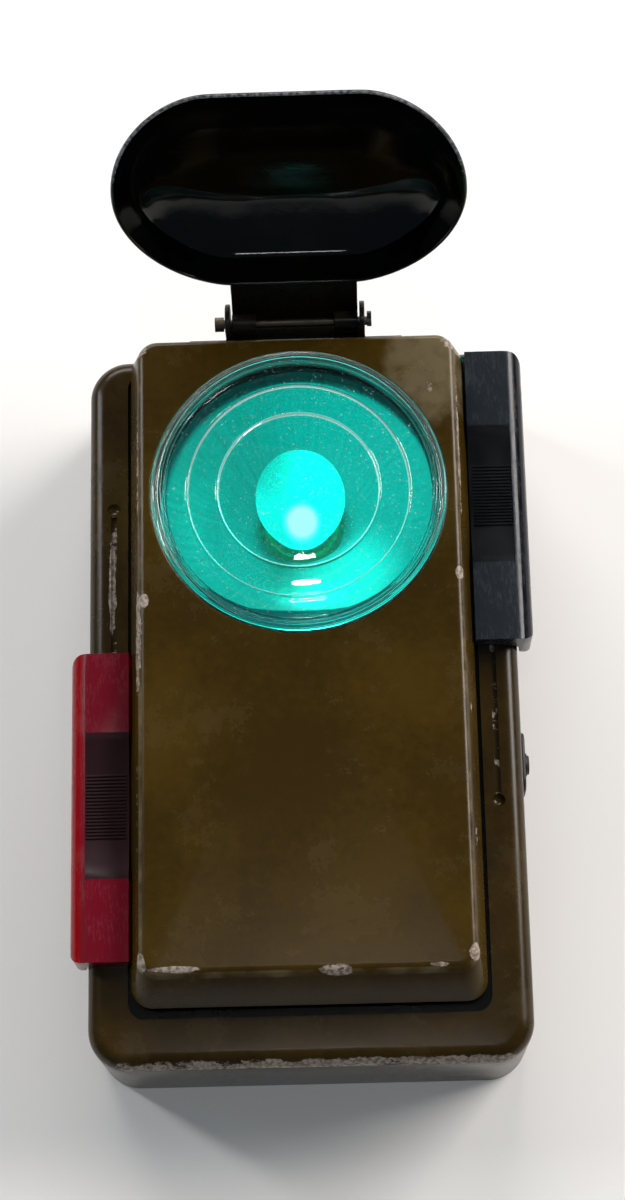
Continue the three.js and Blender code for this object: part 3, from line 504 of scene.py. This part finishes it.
def case_chips_and_highlight(paint):
    """Where the case shows bare primer or metal: along the foot and round its corners, in the slides'
    grooves, and in a pale streak down the left border strip, which is partly rubbed paint and partly a
    painted highlight."""
    point = paint.place()
    x, y, z = paint.axes(point)
    edge = z.between(24 * mm, 24.6 * mm) * (1 - z.between(26.5 * mm, 26.9 * mm))
    foot = edge * (1 - y.between(-63.2 * mm, -61.2 * mm)) * 0.85
    corners = edge * (abs(x) - y * 0.8).between(85 * mm, 88 * mm)
    front = z.between(26.2 * mm, 26.5 * mm) * y.between(lower_click, lower_click + mm)
    front = front * (1 - y.between(upper_click - mm, upper_click))
    groove = front * (1 - abs(abs(x) - groove_x).between(0.4 * mm, 0.6 * mm))
    # A pale streak down the left groove: partly rubbed paint, partly a painted highlight.
    rubbed_and_highlight = patch(paint, point, (-33.3 * mm, 20 * mm, case_high.z), (1 * mm, 14 * mm, 0))
    return foot.most(corners).most(groove * 0.62).most(rubbed_and_highlight)


def case_wear(paint):
    """Where hands have rubbed the case: its rounded front edge."""
    z = paint.axes(paint.place("Normal"))[2]
    return z.between(0.1, 0.5) * (1 - z.between(0.9, 0.99)) * 0.5


def case_well_shade(paint):
    """Painted shade in the well, round the housing: the colour goes near black there."""
    x, y, z = paint.axes(paint.place())
    inside, outside = 0.05 * mm, 0.1 * mm
    across = 1 - abs(x).between(well_half.x - inside, well_half.x + outside)
    along = 1 - abs(y - well_middle.y).between(well_half.y - inside, well_half.y + outside)
    return across * along * (1 - z.between(case_high.z - mm, case_high.z - inside))


case_paint = worn_enamel("case_enamel", tint(44, 33, 10), tint(58, 44, 17), case_chips_and_highlight, case_wear, case_well_shade)
case = make("case_enamelled", bm, case_paint, "lamp_case", ["case_shell"])
thicken(case, case_sheet)
soften(case, 0.15 * mm)

# The front housing: a pressed cover with drawn-in sides and a long slope at its foot, the lens hole rolled
# inwards. The same enamel, worn to primer along its edges and chipped at the foot, with a painted highlight
# along its rounded front edges and a painted sheen on the corner by lens and hinge.
house_low, house_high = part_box("front_housing")
house_size = house_high - house_low
house_sheet = 0.9 * mm
house_base_z = 29.5 * mm
house_foot_z = 26.7 * mm
house_corner = 3.6 * mm
house_edge = 1.1 * mm
side_slope = 1.85 * mm
foot_slope = 4.9 * mm
lens_hole = 26.1 * mm
lens_hole_lip = 1.4 * mm

bm = bmesh.new()
brick(bm, (house_low.x, house_low.y, house_base_z), house_high)
round_off(bm, [edge for edge in bm.edges if upright(edge)], house_corner, segments=12)
top_verts = [vert for vert in bm.verts if vert.co.z > house_high.z - level_gap]
taper = Matrix.Diagonal((1 - 2 * side_slope / house_size.x, 1 - foot_slope / house_size.y, 1, 1))
hinge_end = Vector((0, house_high.y, 0))
drawn_in = Matrix.Translation(hinge_end) @ taper @ Matrix.Translation(-hinge_end)
bmesh.ops.transform(bm, matrix=drawn_in, verts=top_verts)
round_off(bm, [edge for edge in bm.edges if flat(edge, 2, house_high.z)], house_edge, segments=5)
open_up(bm, facing(bm, 2, -1))
hinge_side = [edge for edge in bm.edges if flat(edge, 2, house_base_z) and flat(edge, 1, house_high.y)]
pull(bm, hinge_side, (0, 0, house_foot_z - house_base_z))
plate_edges = open_up(bm, [largest(facing(bm, 2))])
hole_edges = circle(bm, (0, lens_middle.y, house_high.z), lens_hole, segments=128)
fill_flat(bm, plate_edges + hole_edges)
pull(bm, hole_edges, (0, 0, -lens_hole_lip))
bmesh.ops.recalc_face_normals(bm, faces=list(bm.faces))

# Its chips: the foot corners, the middle of the foot edge, the side edges, a dent's rim, the slopes, and
# the corners at the hood. Each has its middle and half its size in millimetres, and its strength.
housing_marks = [
    ((-22, -48.6, 35.3), (7.5, 0.9, 1.2), 0.95),
    ((-28, -47.6, 34.8), (1.8, 3.4, 2), 1.0),
    ((28, -46.8, 35), (2.4, 2.6, 2), 1.0),
    ((4.7, -49.2, 35), (4.8, 1.8, 2), 1.0),
    ((21.5, -48.7, 35.3), (3, 0.7, 1.2), 0.9),
    ((-28.4, 8, 35), (1.5, 15, 3), 1.0),
    ((-27, 15.2, 35.5), (1.3, 2.2, 2), 0.95),
    ((-28.5, -20, 35), (0.45, 32, 2), 0.85),
    ((-28.3, 38, 35), (0.5, 24, 2), 0.8),
    ((27.6, 18.8, 35.4), (1.2, 2, 3), 0.95),
    ((28.3, 42, 35), (0.5, 24, 2), 0.85),
    ((29, -5, 33.6), (0.7, 5, 2), 0.85),
    ((29, -27, 33.6), (0.8, 5, 2), 0.9),
    ((23.5, 55, 35.5), (1.2, 5, 0), 0.72),
    ((-28, 62, 35), (3, 2.5, 3), 0.85),
    ((27.5, 62, 35), (3, 2.5, 3), 0.85),
]


def housing_chips(paint):
    """The housing's chips, all in one mask."""
    point = paint.place()
    total = None
    for middle, size, share in housing_marks:
        mask = patch(paint, point, Vector(middle) * mm, [half * mm for half in size]) * share
        total = total.most(mask) if total else mask
    return total


def housing_wear_and_highlight(paint):
    """Where the housing is painted paler: its rounded front edge, partly rubbed paint and partly a painted
    highlight, and a painted sheen on the plate's corner by lens and hinge.
    """
    z = paint.axes(paint.place("Normal"))[2]
    point = paint.place()
    height = paint.axes(point)[2]
    edge = height.between(33.8 * mm, 34.6 * mm) * z.between(0.5, 0.6) * (1 - z.between(0.88, 0.96))
    return (edge * 0.8).most(patch(paint, point, Vector((23, 57, 35.5)) * mm, (13 * mm, 18 * mm, 0)))


house_paint = worn_enamel("housing_enamel", tint(54, 40, 9), tint(68, 52, 16), housing_chips, housing_wear_and_highlight)
housing = make("housing_enamelled", bm, house_paint, "lamp_case", ["front_housing"], crease=30)
thicken(housing, house_sheet)
soften(housing, 0.2 * mm, segments=3)

# The lens: one piece of pressed clear glass, flat behind, stepped in two rings and a dome in front, with a
# stepped rim that stands out of the housing. Dusty, finely scratched, with light in the edges of its rings.
lens_low, lens_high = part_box("lens")
lens_radius = 25.8 * mm
flange_low = 32.4 * mm
flange_high = 33.4 * mm
rim_top = 36.6 * mm
skirt_radius = 24.7 * mm
ring_edges = ((13.9, 14.2), (19.2, 19.45))
edge_light = 0.36


def turned(bm, profile, middle, steps):
    """Spins a profile of (radius, height) points about the Z axis through a middle."""
    verts = [bm.verts.new((middle.x + radius, middle.y, height)) for radius, height in profile]
    edges = [bm.edges.new(pair) for pair in zip(verts, verts[1:])]
    bmesh.ops.spin(
        bm,
        geom=verts + edges,
        cent=(middle.x, middle.y, 0),
        axis=(0, 0, 1),
        angle=math.tau,
        steps=steps,
        use_merge=True,
        use_duplicate=False,
    )
    bmesh.ops.remove_doubles(bm, verts=list(bm.verts), dist=merge_gap)
    bmesh.ops.recalc_face_normals(bm, faces=list(bm.faces))


def swell(inner, outer, low, high, power=1.6, count=12):
    """Points of a convex ring zone, from its inner to its outer radius, highest inside."""
    shares = [step / count for step in range(count + 1)]
    return [(inner + (outer - inner) * share, low + (high - low) * (1 - share**power)) for share in shares]


def bead(radius, low, high, rounding, count=8):
    """Points of a ring's step: up its inner wall and over a rounded bead onto its top."""
    whole_turn = 2.3
    points = [(radius, low)]
    for step in range(count + 1):
        turn = whole_turn * step / count
        points.append((radius + rounding * (1 - math.cos(turn)), high - rounding * (1 - math.sin(turn))))
    return points


front_profile = swell(0, 13.9 * mm, 35.15 * mm, 37 * mm)
front_profile += bead(14 * mm, 35.15 * mm, 36.05 * mm, 0.3 * mm)
front_profile += swell(14.7 * mm, 19.2 * mm, 35.1 * mm, 35.93 * mm, power=1.2)
front_profile += bead(19.3 * mm, 35.1 * mm, 35.8 * mm, 0.28 * mm)
front_profile += swell(19.95 * mm, 23.3 * mm, 34.9 * mm, 35.68 * mm, power=1.2)
rim_profile = bead(23.5 * mm, 34.9 * mm, 35.8 * mm, 0.16 * mm)
rim_profile += bead(24.0 * mm, 35.75 * mm, 36.2 * mm, 0.15 * mm)
rim_profile += bead(24.5 * mm, 36.15 * mm, rim_top, 0.25 * mm)
rim_profile += [
    (25.2 * mm, rim_top),
    (25.45 * mm, 36.53 * mm),
    (25.65 * mm, 36.35 * mm),
    (25.77 * mm, 36.1 * mm),
    (lens_radius, 35.8 * mm),
    (lens_radius, flange_high),
    (lens_high.x, flange_high),
    (lens_high.x, flange_low),
    (skirt_radius, flange_low),
    (skirt_radius, lens_low.z),
    (0.0, lens_low.z),
]
bm = bmesh.new()
turned(bm, front_profile + rim_profile, lens_middle, steps=128)

glass = Surface("pressed_glass")
x, y, z = glass.axes(glass.place())
scratch = glass.noise(0.9 * mm, detail=6, roughness=0.75).between(0.56, 0.7)
radius = (x * x + (y - lens_middle.y) * (y - lens_middle.y)) ** 0.5
rings = sum(
    radius.between(low * mm, (low + 0.1) * mm) - radius.between(high * mm, (high + 0.1) * mm)
    for low, high in ring_edges
)
edges_lit = z.between(34.6 * mm, 35 * mm) * rings
glass.finish(
    Base_Color=(0.93, 0.99, 0.97, 1.0),
    Roughness=scratch * 0.12 + 0.015,
    IOR=1.46,
    Specular_IOR_Level=0.35,
    Transmission_Weight=1.0,
    Normal=glass.bump(glass.noise(3 * mm), 0.03 * mm, 0.3),
    Emission_Color=glass.blend(edges_lit, (0.0, 0.0, 0.0, 1.0), (0.6, 1.0, 0.95, 1.0)),
    Emission_Strength=edge_light,
)
clear = glass.node("ShaderNodeBsdfTransparent", {}, {"Color": (0.9, 0.97, 0.95, 1.0)})
shadow = glass.node("ShaderNodeLightPath", {}, {}, "Is Shadow Ray")
dust = glass.node("ShaderNodeBsdfDiffuse", {}, {"Color": (0.8, 0.82, 0.8, 1.0)})
specks = glass.noise(0.5 * mm, detail=3, roughness=0.7).between(0.62, 0.68) * z.between(34 * mm, 34.4 * mm)
glass.show(glass.mixed(specks * 0.3, glass.mixed(shadow, glass.body, clear), dust))
make("lens_glass", bm, glass.material, "lamp_case", ["lens"], crease=25)


# The lens seal and clamp ring under the housing: a ring of soft black rubber above the lens's flange, and a
# stamped ring of plain steel below it, which holds both.
def dress(names, material):
    """Gives CAD nodes a material."""
    for name in names:
        nodes[name].data.materials.clear()
        nodes[name].data.materials.append(material)


def plain_metal(name, colour, shine):
    """Bare metal with fine drawn marks and dull spots."""
    metal = Surface(name)
    marks = metal.noise(0.6 * mm, detail=6, roughness=0.7, stretch=(1, 8, 1))
    spots = metal.noise(2.5 * mm, detail=5).between(0.5, 0.72)
    tarnished = tuple(share * 0.45 for share in colour[:3]) + (1.0,)
    return metal.finish(
        Base_Color=metal.blend(spots * 0.6, colour, tarnished),
        Metallic=1.0,
        Roughness=marks * 0.2 + spots * 0.25 + shine,
        Normal=metal.bump(marks, 0.02 * mm, 0.4),
    )


rubber = Surface("seal_rubber")
rubber.finish(
    Base_Color=tint(18, 18, 17), Roughness=0.85, Normal=rubber.bump(rubber.noise(0.4 * mm), 0.05 * mm, 0.5)
)
dress(["lens_seal"], rubber.material)
steel = plain_metal("plain_steel", tint(168, 164, 156), 0.22)
dress(["lens_clamp_ring"], steel)

# The reflector: a spun dish of plated brass, whose flat flange lies under the case's front. Its brightness is
# a painted glow, as if from the bulb's light: in fine rays, mottled, with one brighter painted spot, and
# painted shade on its rim and foot side that darkens its colour as well as its glow.
dish_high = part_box("reflector")[1]
dish_radius = 24.3 * mm
dish_hole = 6.2 * mm
dish_sheet = 0.5 * mm
dish_depth = 14.5 * mm
dish_z = dish_high.z - dish_sheet
dish_steps = 14
bulb_middle = middle_of("bulb_glass")


def dish_height(radius):
    return dish_z - dish_depth * (1 - (radius / dish_radius) ** 2)


radii = [dish_hole + (dish_radius - dish_hole) * step / dish_steps for step in range(dish_steps + 1)]
bowl = [(radius, dish_height(radius) + dish_sheet) for radius in radii]
back = [(radius + dish_sheet, dish_height(radius)) for radius in reversed(radii)]
flange = [(dish_high.x, dish_high.z), (dish_high.x, dish_z)]
bm = bmesh.new()
turned(bm, bowl + flange + back + bowl[:1], lens_middle, steps=96)
for vert in bm.verts:
    from_axis = (vert.co.xy - lens_middle.xy).length
    if from_axis < dish_radius:
        share = (dish_radius - from_axis) / (dish_radius - dish_hole)
        vert.co.y += (bulb_middle.y - lens_middle.y) * share
        vert.co.z += dish_height((vert.co.xy - lens_middle.xy).length) - dish_height(from_axis)


def far_from(x, y, middle, near, far):
    """A soft step in the distance from a point of the lens face, in millimetres from the lens's middle."""
    across = x - middle[0] * mm
    along = y - (lens_middle.y + middle[1] * mm)
    return ((across * across + along * along) ** 0.5).between(near * mm, far * mm)


mirror = Surface("lit_reflector")
x, y = mirror.axes(mirror.place())[:2]
bright_spot = 1 - far_from(x, y, (7, -8), 3, 12)
inside_rim = (1 - far_from(x, y, (0.3, 0.3), 22.4, 23.6)) * 0.8 + 0.2
above_foot = (y - lens_middle.y).between(-13.4 * mm, -13.0 * mm) * 0.85 + 0.15
in_light = inside_rim * above_foot
bearing = x.math("ARCTAN2", y - lens_middle.y, x)
rays = mirror.node(
    "ShaderNodeTexNoise", {"noise_dimensions": "1D"}, {"W": bearing, "Scale": 24.0, "Detail": 3.0}, "Fac"
)
mottled_glow = mirror.noise(1.2 * mm, detail=6, roughness=0.75)
glow = (rays * 0.22 + mottled_glow * 0.2 - 0.06 + bright_spot * 0.75) * in_light
mirror.finish(
    Base_Color=mirror.blend(in_light, (0.015, 0.03, 0.05, 1.0), (0.4, 0.4, 0.38, 1.0)),
    Metallic=1.0,
    Roughness=rays * 0.15 + 0.25,
    Emission_Color=mirror.blend(glow, (0.0, 0.0, 0.0, 1.0), (1.0, 1.0, 0.93, 1.0)),
    Emission_Strength=1.0,
)
make("reflector_dish", bm, mirror.material, "lamp_case", ["reflector"], crease=60)

# The bulb: a small leaning globe of clear glass on a brass screw base in a brass socket. It is lit: a pale
# glow, dimmest at its upper left, and a white-hot core.
globe_low, globe_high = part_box("bulb_glass")
globe_radius = (globe_high.x - globe_low.x) / 2
globe_z = globe_high.z - globe_radius
globe_steps = 20
neck = 5 * mm
neck_angle = math.asin(neck / globe_radius)
lean = 0.2
bulb_light = 240.0
dim_glow = (0.001, 0.0023, 0.0021, 1.0)
full_glow = (0.001, 0.0043, 0.0042, 1.0)
core = (1.0, 0.28, 0.28, 1.0)

angles = [(math.pi - neck_angle) * step / globe_steps for step in range(globe_steps + 1)]
globe = [(globe_radius * math.sin(angle), globe_z + globe_radius * math.cos(angle)) for angle in angles]
bm = bmesh.new()
turned(bm, globe + [(neck, globe_low.z), (0.0, globe_low.z)], bulb_middle, steps=48)
for vert in bm.verts:
    vert.co.y += (vert.co.z - globe_low.z) * lean
bulb = Surface("lit_bulb")
x, y, z = bulb.axes(bulb.place())
hot = 1 - far_from(x, y + z * 0.25, (0.2, 4.3), 0.6, 3.6)
glass_glow = bulb.blend(far_from(x, y, (-4, 7), 1, 7), dim_glow, full_glow)
bulb.finish(
    Base_Color=(0.95, 0.95, 0.9, 1.0),
    Roughness=0.1,
    Emission_Color=bulb.blend(hot * hot, glass_glow, core),
    Emission_Strength=bulb_light,
)
make("bulb_globe", bm, bulb.material, "lamp_case", ["bulb_glass"], crease=60)

# The bulb's brass base and socket have a painted glow, as if lit by the bulb.
lit_brass = Surface("lit_brass")
marks = lit_brass.noise(0.8 * mm, detail=5, roughness=0.7)
lit_brass.finish(
    Base_Color=lit_brass.blend(marks, tint(140, 110, 60), tint(196, 160, 96)),
    Metallic=1.0,
    Roughness=marks * 0.2 + 0.25,
    Emission_Color=lit_brass.blend(marks.between(0.3, 0.7), (0.12, 0.1, 0.07, 1.0), (0.3, 0.27, 0.2, 1.0)),
    Emission_Strength=1.0,
)
dress(["bulb_base", "bulb_socket"], lit_brass.material)

# The contact board: brown laminated paper board across the case under the reflector, which carries the
# socket, a brass strip under the bulb's tip and a springy one that the morse key presses.
board = Surface("laminated_board")
grain = board.noise(0.8 * mm, detail=6, stretch=(10, 1, 1))
board.finish(
    Base_Color=board.blend(grain, tint(70, 42, 24), tint(104, 68, 40)),
    Roughness=0.6,
    Normal=board.bump(grain, 0.03 * mm, 0.4),
)
dress(["contact_board"], board.material)
brass = plain_metal("contact_brass", tint(186, 150, 86), 0.25)
dress(["centre_contact", "switch_contact"], brass)

# The flat battery: three cells in a card sleeve, slightly fibrous, in plain blue-grey, with a long and a
# short tongue of sheet brass.
sleeve = Surface("battery_sleeve")
fibre = sleeve.noise(0.7 * mm, detail=6)
sleeve.finish(
    Base_Color=sleeve.blend(fibre, tint(62, 88, 112), tint(78, 104, 128)),
    Roughness=0.65,
    Normal=sleeve.bump(fibre, 0.05 * mm, 0.4),
)
dress(["battery_case"], sleeve.material)
dress(["battery_tongue_long", "battery_tongue_short"], brass)

# The filter slides: moulded in clear coloured plastic, each a thin plate under the lens and a solid grip
# with a ribbed thumb scoop and a lip down the case's side. Handling has left them dusty and scratched.
grip_inner = 30.05 * mm


def softened_copy(name, node, material, body, radius, segments=2):
    """A merged copy of a CAD node with its edges broken, in its own material."""
    sharp = 35
    bm = bmesh.new()
    bm.from_mesh(nodes[node].data)
    bmesh.ops.remove_doubles(bm, verts=list(bm.verts), dist=level_gap)
    bmesh.ops.dissolve_limit(bm, angle_limit=math.radians(1), verts=list(bm.verts), edges=list(bm.edges))
    piece = make(name, bm, material, body, [node], crease=sharp)
    soften(piece, radius, segments, sharp)


def coloured_plastic(name, node, through, lip, top, scoop_shade, dust, dust_share):
    """Clear coloured moulding: the plate lets light through in its colour, and the grip is dusty and painted
    in three lit and shaded tones of one colour: its top, its lip, and its thumb scoop, darkest with painted
    shade."""
    plastic = Surface(name)
    x, y, z = plastic.axes(plastic.place())
    grip = abs(x).between(grip_inner - 0.2 * mm, grip_inner)
    cloud = plastic.noise(6 * mm, detail=4)
    grit = plastic.noise(0.3 * mm, detail=5, roughness=0.75, stretch=(1, 6, 1))
    dusty = (cloud * 0.5 + grit * 0.6).between(0.48, 0.8)
    in_lip = abs(x).between(37.9 * mm, 38.4 * mm)
    low = 1 - z.between(30.9 * mm, 30.98 * mm)
    along = 1 - abs(y - middle_of(node).y).between(12.9 * mm, 13.1 * mm)
    in_scoop = low * along * (1 - abs(x).between(37.45 * mm, 37.55 * mm))
    # Painted light and shade: the scoop takes the darkest tone, and the lip and the top the others.
    colour = plastic.blend(in_scoop, plastic.blend(in_lip, top, lip), scoop_shade)
    plastic.finish(
        Base_Color=plastic.blend(dusty * dust_share * (1 - in_scoop * 0.8) * (1 - in_lip), colour, dust),
        Roughness=dusty * 0.3 + in_scoop * 0.25 + 0.18,
        Specular_IOR_Level=0.22,
        Normal=plastic.bump(grit, 0.02 * mm, 0.5),
    )
    clear = plastic.node("ShaderNodeBsdfTransparent", {}, {"Color": through})
    plastic.show(plastic.mixed(grip, clear, plastic.body))
    return plastic.material


red = coloured_plastic(
    "red_plastic",
    "red_filter_slide",
    through=(0.75, 0.02, 0.04, 1.0),
    lip=tint(140, 3, 18),
    top=tint(104, 18, 32),
    scoop_shade=tint(38, 5, 15),
    dust=tint(140, 90, 92),
    dust_share=0.1,
)
green = coloured_plastic(
    "green_plastic",
    "green_filter_slide",
    through=(0.08, 0.89, 0.85, 1.0),
    lip=tint(7, 9, 18),
    top=tint(40, 43, 47),
    scoop_shade=tint(6, 8, 13),
    dust=tint(84, 92, 102),
    dust_share=0.25,
)
softened_copy("red_slide", "red_filter_slide", red, "red_filter", 0.18 * mm)
softened_copy("green_slide", "green_filter_slide", green, "green_filter", 0.18 * mm)

# The switch: a black moulded slide in the opening of the case's right wall, which locks the light on, with
# the round morse key in its middle.
black = Surface("black_moulding")
skin = black.noise(0.5 * mm, detail=4)
black.finish(
    Base_Color=black.blend(skin.between(0.5, 0.8), tint(22, 20, 18), tint(52, 48, 42)),
    Roughness=skin * 0.25 + 0.35,
    Normal=black.bump(skin, 0.05 * mm, 0.4),
)
softened_copy("switch_knob", "switch_slide", black.material, "switch", 0.15 * mm)
softened_copy("key_knob", "morse_button", black.material, "morse_key", 0.15 * mm)


# The hinge: a pressed bracket riveted to the case's end, with two ears, and a split pin of dark steel
# through them. Blackish enamel without chips, rubbed all over.
def no_chips(paint):
    return paint.noise(9 * mm) * 0.2


def rubbed_all_over(paint):
    return paint.noise(3 * mm, detail=4) * 0.45


dark_paint = worn_enamel(
    "dark_enamel", tint(20, 18, 13), tint(34, 29, 19), no_chips, rubbed_all_over, shine=0.3
)
softened_copy(
    "bracket_enamelled", "hinge_bracket", dark_paint, "lamp_case", 0.2 * mm, segments=3
)
dress(["bracket_rivet_left", "bracket_rivet_right"], dark_paint)
dress(["hinge_pin"], plain_metal("dark_steel", tint(104, 94, 82), 0.25))

# The hood: a deep dish pressed from one sheet with its tongue, which ends in two knuckles on the hinge pin.
# The rim is cut clean and worn bright, with a painted highlight along its top, and the rest is glossy
# blackish enamel, olive at its right side.
hinge_place = Vector(frame["joints"][0]["pos_m"])
hood_angle = math.radians(76)
hood_sheet = 0.65 * mm
rim_drop = 2.4 * mm
hood_depth = 10.5 * mm
near_y = 7.8 * mm
far_y = 57.2 * mm
near_half = 5.8 * mm
far_half = 6.5 * mm
near_curve = [(30.1, 31.5), (30.1, 20.5), (22.5, 10.1), (11.5, 7.8)]
far_curve = [(12, 57.2), (20.5, 57.2), (30.1, 46), (30.1, 31.5)]
curve_points = 16
tongue_half = 11.2 * mm
tongue_end = -1.2 * mm
tongue_bend = 3.9 * mm
tongue_z = -rim_drop - hood_sheet / 2
knuckle_radius = 1.8 * mm
knuckle_length = 4.3 * mm
stand = Matrix.Translation(hinge_place) @ Matrix.Rotation(hood_angle, 4, "X")

# Levels of the dish: depth, then the length given up at the near and far side and the width left, as shares.
dish_levels = [
    (0.0, 0.0, 0.0, 1.0),
    (0.04, 0.0, 0.004, 0.998),
    (0.2, 0.006, 0.045, 0.985),
    (0.4, 0.018, 0.12, 0.955),
    (0.58, 0.032, 0.2, 0.92),
    (0.66, 0.049, 0.26, 0.89),
    (0.705, 0.067, 0.285, 0.87),
    (0.767, 0.101, 0.33, 0.84),
    (0.824, 0.135, 0.385, 0.805),
    (0.878, 0.168, 0.44, 0.76),
    (0.928, 0.202, 0.5, 0.7),
    (0.962, 0.225, 0.56, 0.63),
    (0.985, 0.242, 0.64, 0.5),
    (0.99, 0.249, 0.69, 0.35),
]


def bend(curve):
    """Points along a curve from its knot, handle, other handle and other knot."""
    return interpolate_bezier(*[Vector(point) * mm for point in curve], curve_points)


def dish_point(point, level):
    """Where a point of the rim outline comes to lie at a level of the dish."""
    depth, near, far, width = level
    share = (point.y - near_y) / (far_y - near_y)
    low = near_y + near * (far_y - near_y)
    high = far_y - far * (far_y - near_y)
    return Vector((point.x * width, low + share * (high - low), -rim_drop - depth * hood_depth))


right = [Vector((0, far_y)), Vector((far_half, far_y))]
right += bend(far_curve) + bend(near_curve)[1:]
right += [Vector((near_half, near_y)), Vector((0, near_y))]
rim_outline = right + [Vector((-point.x, point.y)) for point in reversed(right[1:-1])]

bm = bmesh.new()
ring = [bm.verts.new(dish_point(point, dish_levels[0])) for point in rim_outline]
edges = [bm.edges.new((ring[here - 1], ring[here])) for here in range(len(ring))]
for level in dish_levels[1:]:
    grown, edges = pull(bm, edges)
    beside = [[edge.other_vert(vert) for edge in vert.link_edges] for vert in ring]
    ring = [next(vert for vert in verts if vert in grown) for verts in beside]
    for vert, point in zip(ring, rim_outline):
        vert.co = dish_point(point, level)
bottom = bmesh.ops.contextual_create(bm, geom=edges)["faces"]
bmesh.ops.poke(bm, faces=bottom)
bmesh.ops.recalc_face_normals(bm, faces=list(bm.faces))
if largest(bm.faces).normal.z > 0:
    bmesh.ops.reverse_faces(bm, faces=list(bm.faces))
bmesh.ops.transform(bm, matrix=stand, verts=list(bm.verts))


def hood_rim_wear_and_highlight(paint):
    """The hood's rim, pale along its top and sides: worn to the metal, and strongest along the top, where it
    is partly a painted highlight. It is found in the hood's own axes.
    """
    point = paint.node(
        "ShaderNodeMapping",
        {"vector_type": "TEXTURE"},
        {"Vector": paint.place(), "Location": hinge_place, "Rotation": (hood_angle, 0, 0)},
    )
    y, z = paint.axes(point)[1:]
    edge = z.between(-rim_drop - 0.16 * mm, -rim_drop - 0.02 * mm)
    return edge * (y.between(26 * mm, 50 * mm) * 0.7 + 0.35)


def hood_olive_tone(paint):
    """Where the hood's enamel is paler and olive: in patches, and more towards its right side."""
    x = paint.axes(paint.place())[0]
    return paint.noise(14 * mm, detail=4) * 0.35 + x.between(4 * mm, 30 * mm) * 0.42


hood_paint = worn_enamel(
    "hood_enamel",
    tint(7, 7, 6),
    tint(16, 14, 9),
    hood_rim_wear_and_highlight,
    hood_olive_tone,
    bare=(tint(70, 70, 70), tint(150, 152, 154)),
    chip_size=2 * mm,
    shine=0.07,
    gloss=0.33,
)
hood = make("hood_dish", bm, hood_paint, "hood", ["hood"], crease=60)
thicken(hood, hood_sheet, even=False)
smooth = hood.modifiers.new("smooth", "SUBSURF")
smooth.levels = smooth.render_levels = 1

bm = bmesh.new()
tongue_line = [
    (tongue_end, hood_sheet / 2 - knuckle_radius),
    (tongue_bend, tongue_z),
    (near_y + 0.5 * mm, tongue_z),
]
verts = [bm.verts.new((-tongue_half, along, height)) for along, height in tongue_line]
pull(bm, [bm.edges.new(pair) for pair in zip(verts, verts[1:])], (2 * tongue_half, 0, 0))
bmesh.ops.solidify(bm, geom=list(bm.faces), thickness=hood_sheet)
bmesh.ops.recalc_face_normals(bm, faces=list(bm.faces))
for low in (-tongue_half, tongue_half - knuckle_length):
    place = Matrix.Translation((low + knuckle_length / 2, 0, 0)) @ Matrix.Rotation(math.radians(90), 4, "Y")
    bmesh.ops.create_cone(
        bm,
        cap_ends=True,
        segments=32,
        radius1=knuckle_radius,
        radius2=knuckle_radius,
        depth=knuckle_length,
        matrix=place,
    )
bmesh.ops.transform(bm, matrix=stand, verts=list(bm.verts))
tongue = make("hood_tongue", bm, dark_paint, "hood")
soften(tongue, 0.15 * mm)

# The back cover: a flat enamelled sheet with a low flange, hinged at the foot on a steel pin and held by a
# spring catch. Two rivets hold the blackish belt clip in its pressed recess.
cover_paint = worn_enamel("cover_enamel", tint(52, 40, 20), tint(70, 56, 30), no_chips, rubbed_all_over)
softened_copy("cover_enamelled", "back_cover", cover_paint, "back", 0.15 * mm)
softened_copy("clip_enamelled", "belt_clip", dark_paint, "back", 0.15 * mm)
dress(["cover_hinge_pin", "cover_catch", "clip_rivet_left", "clip_rivet_right"], steel)

low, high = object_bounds()
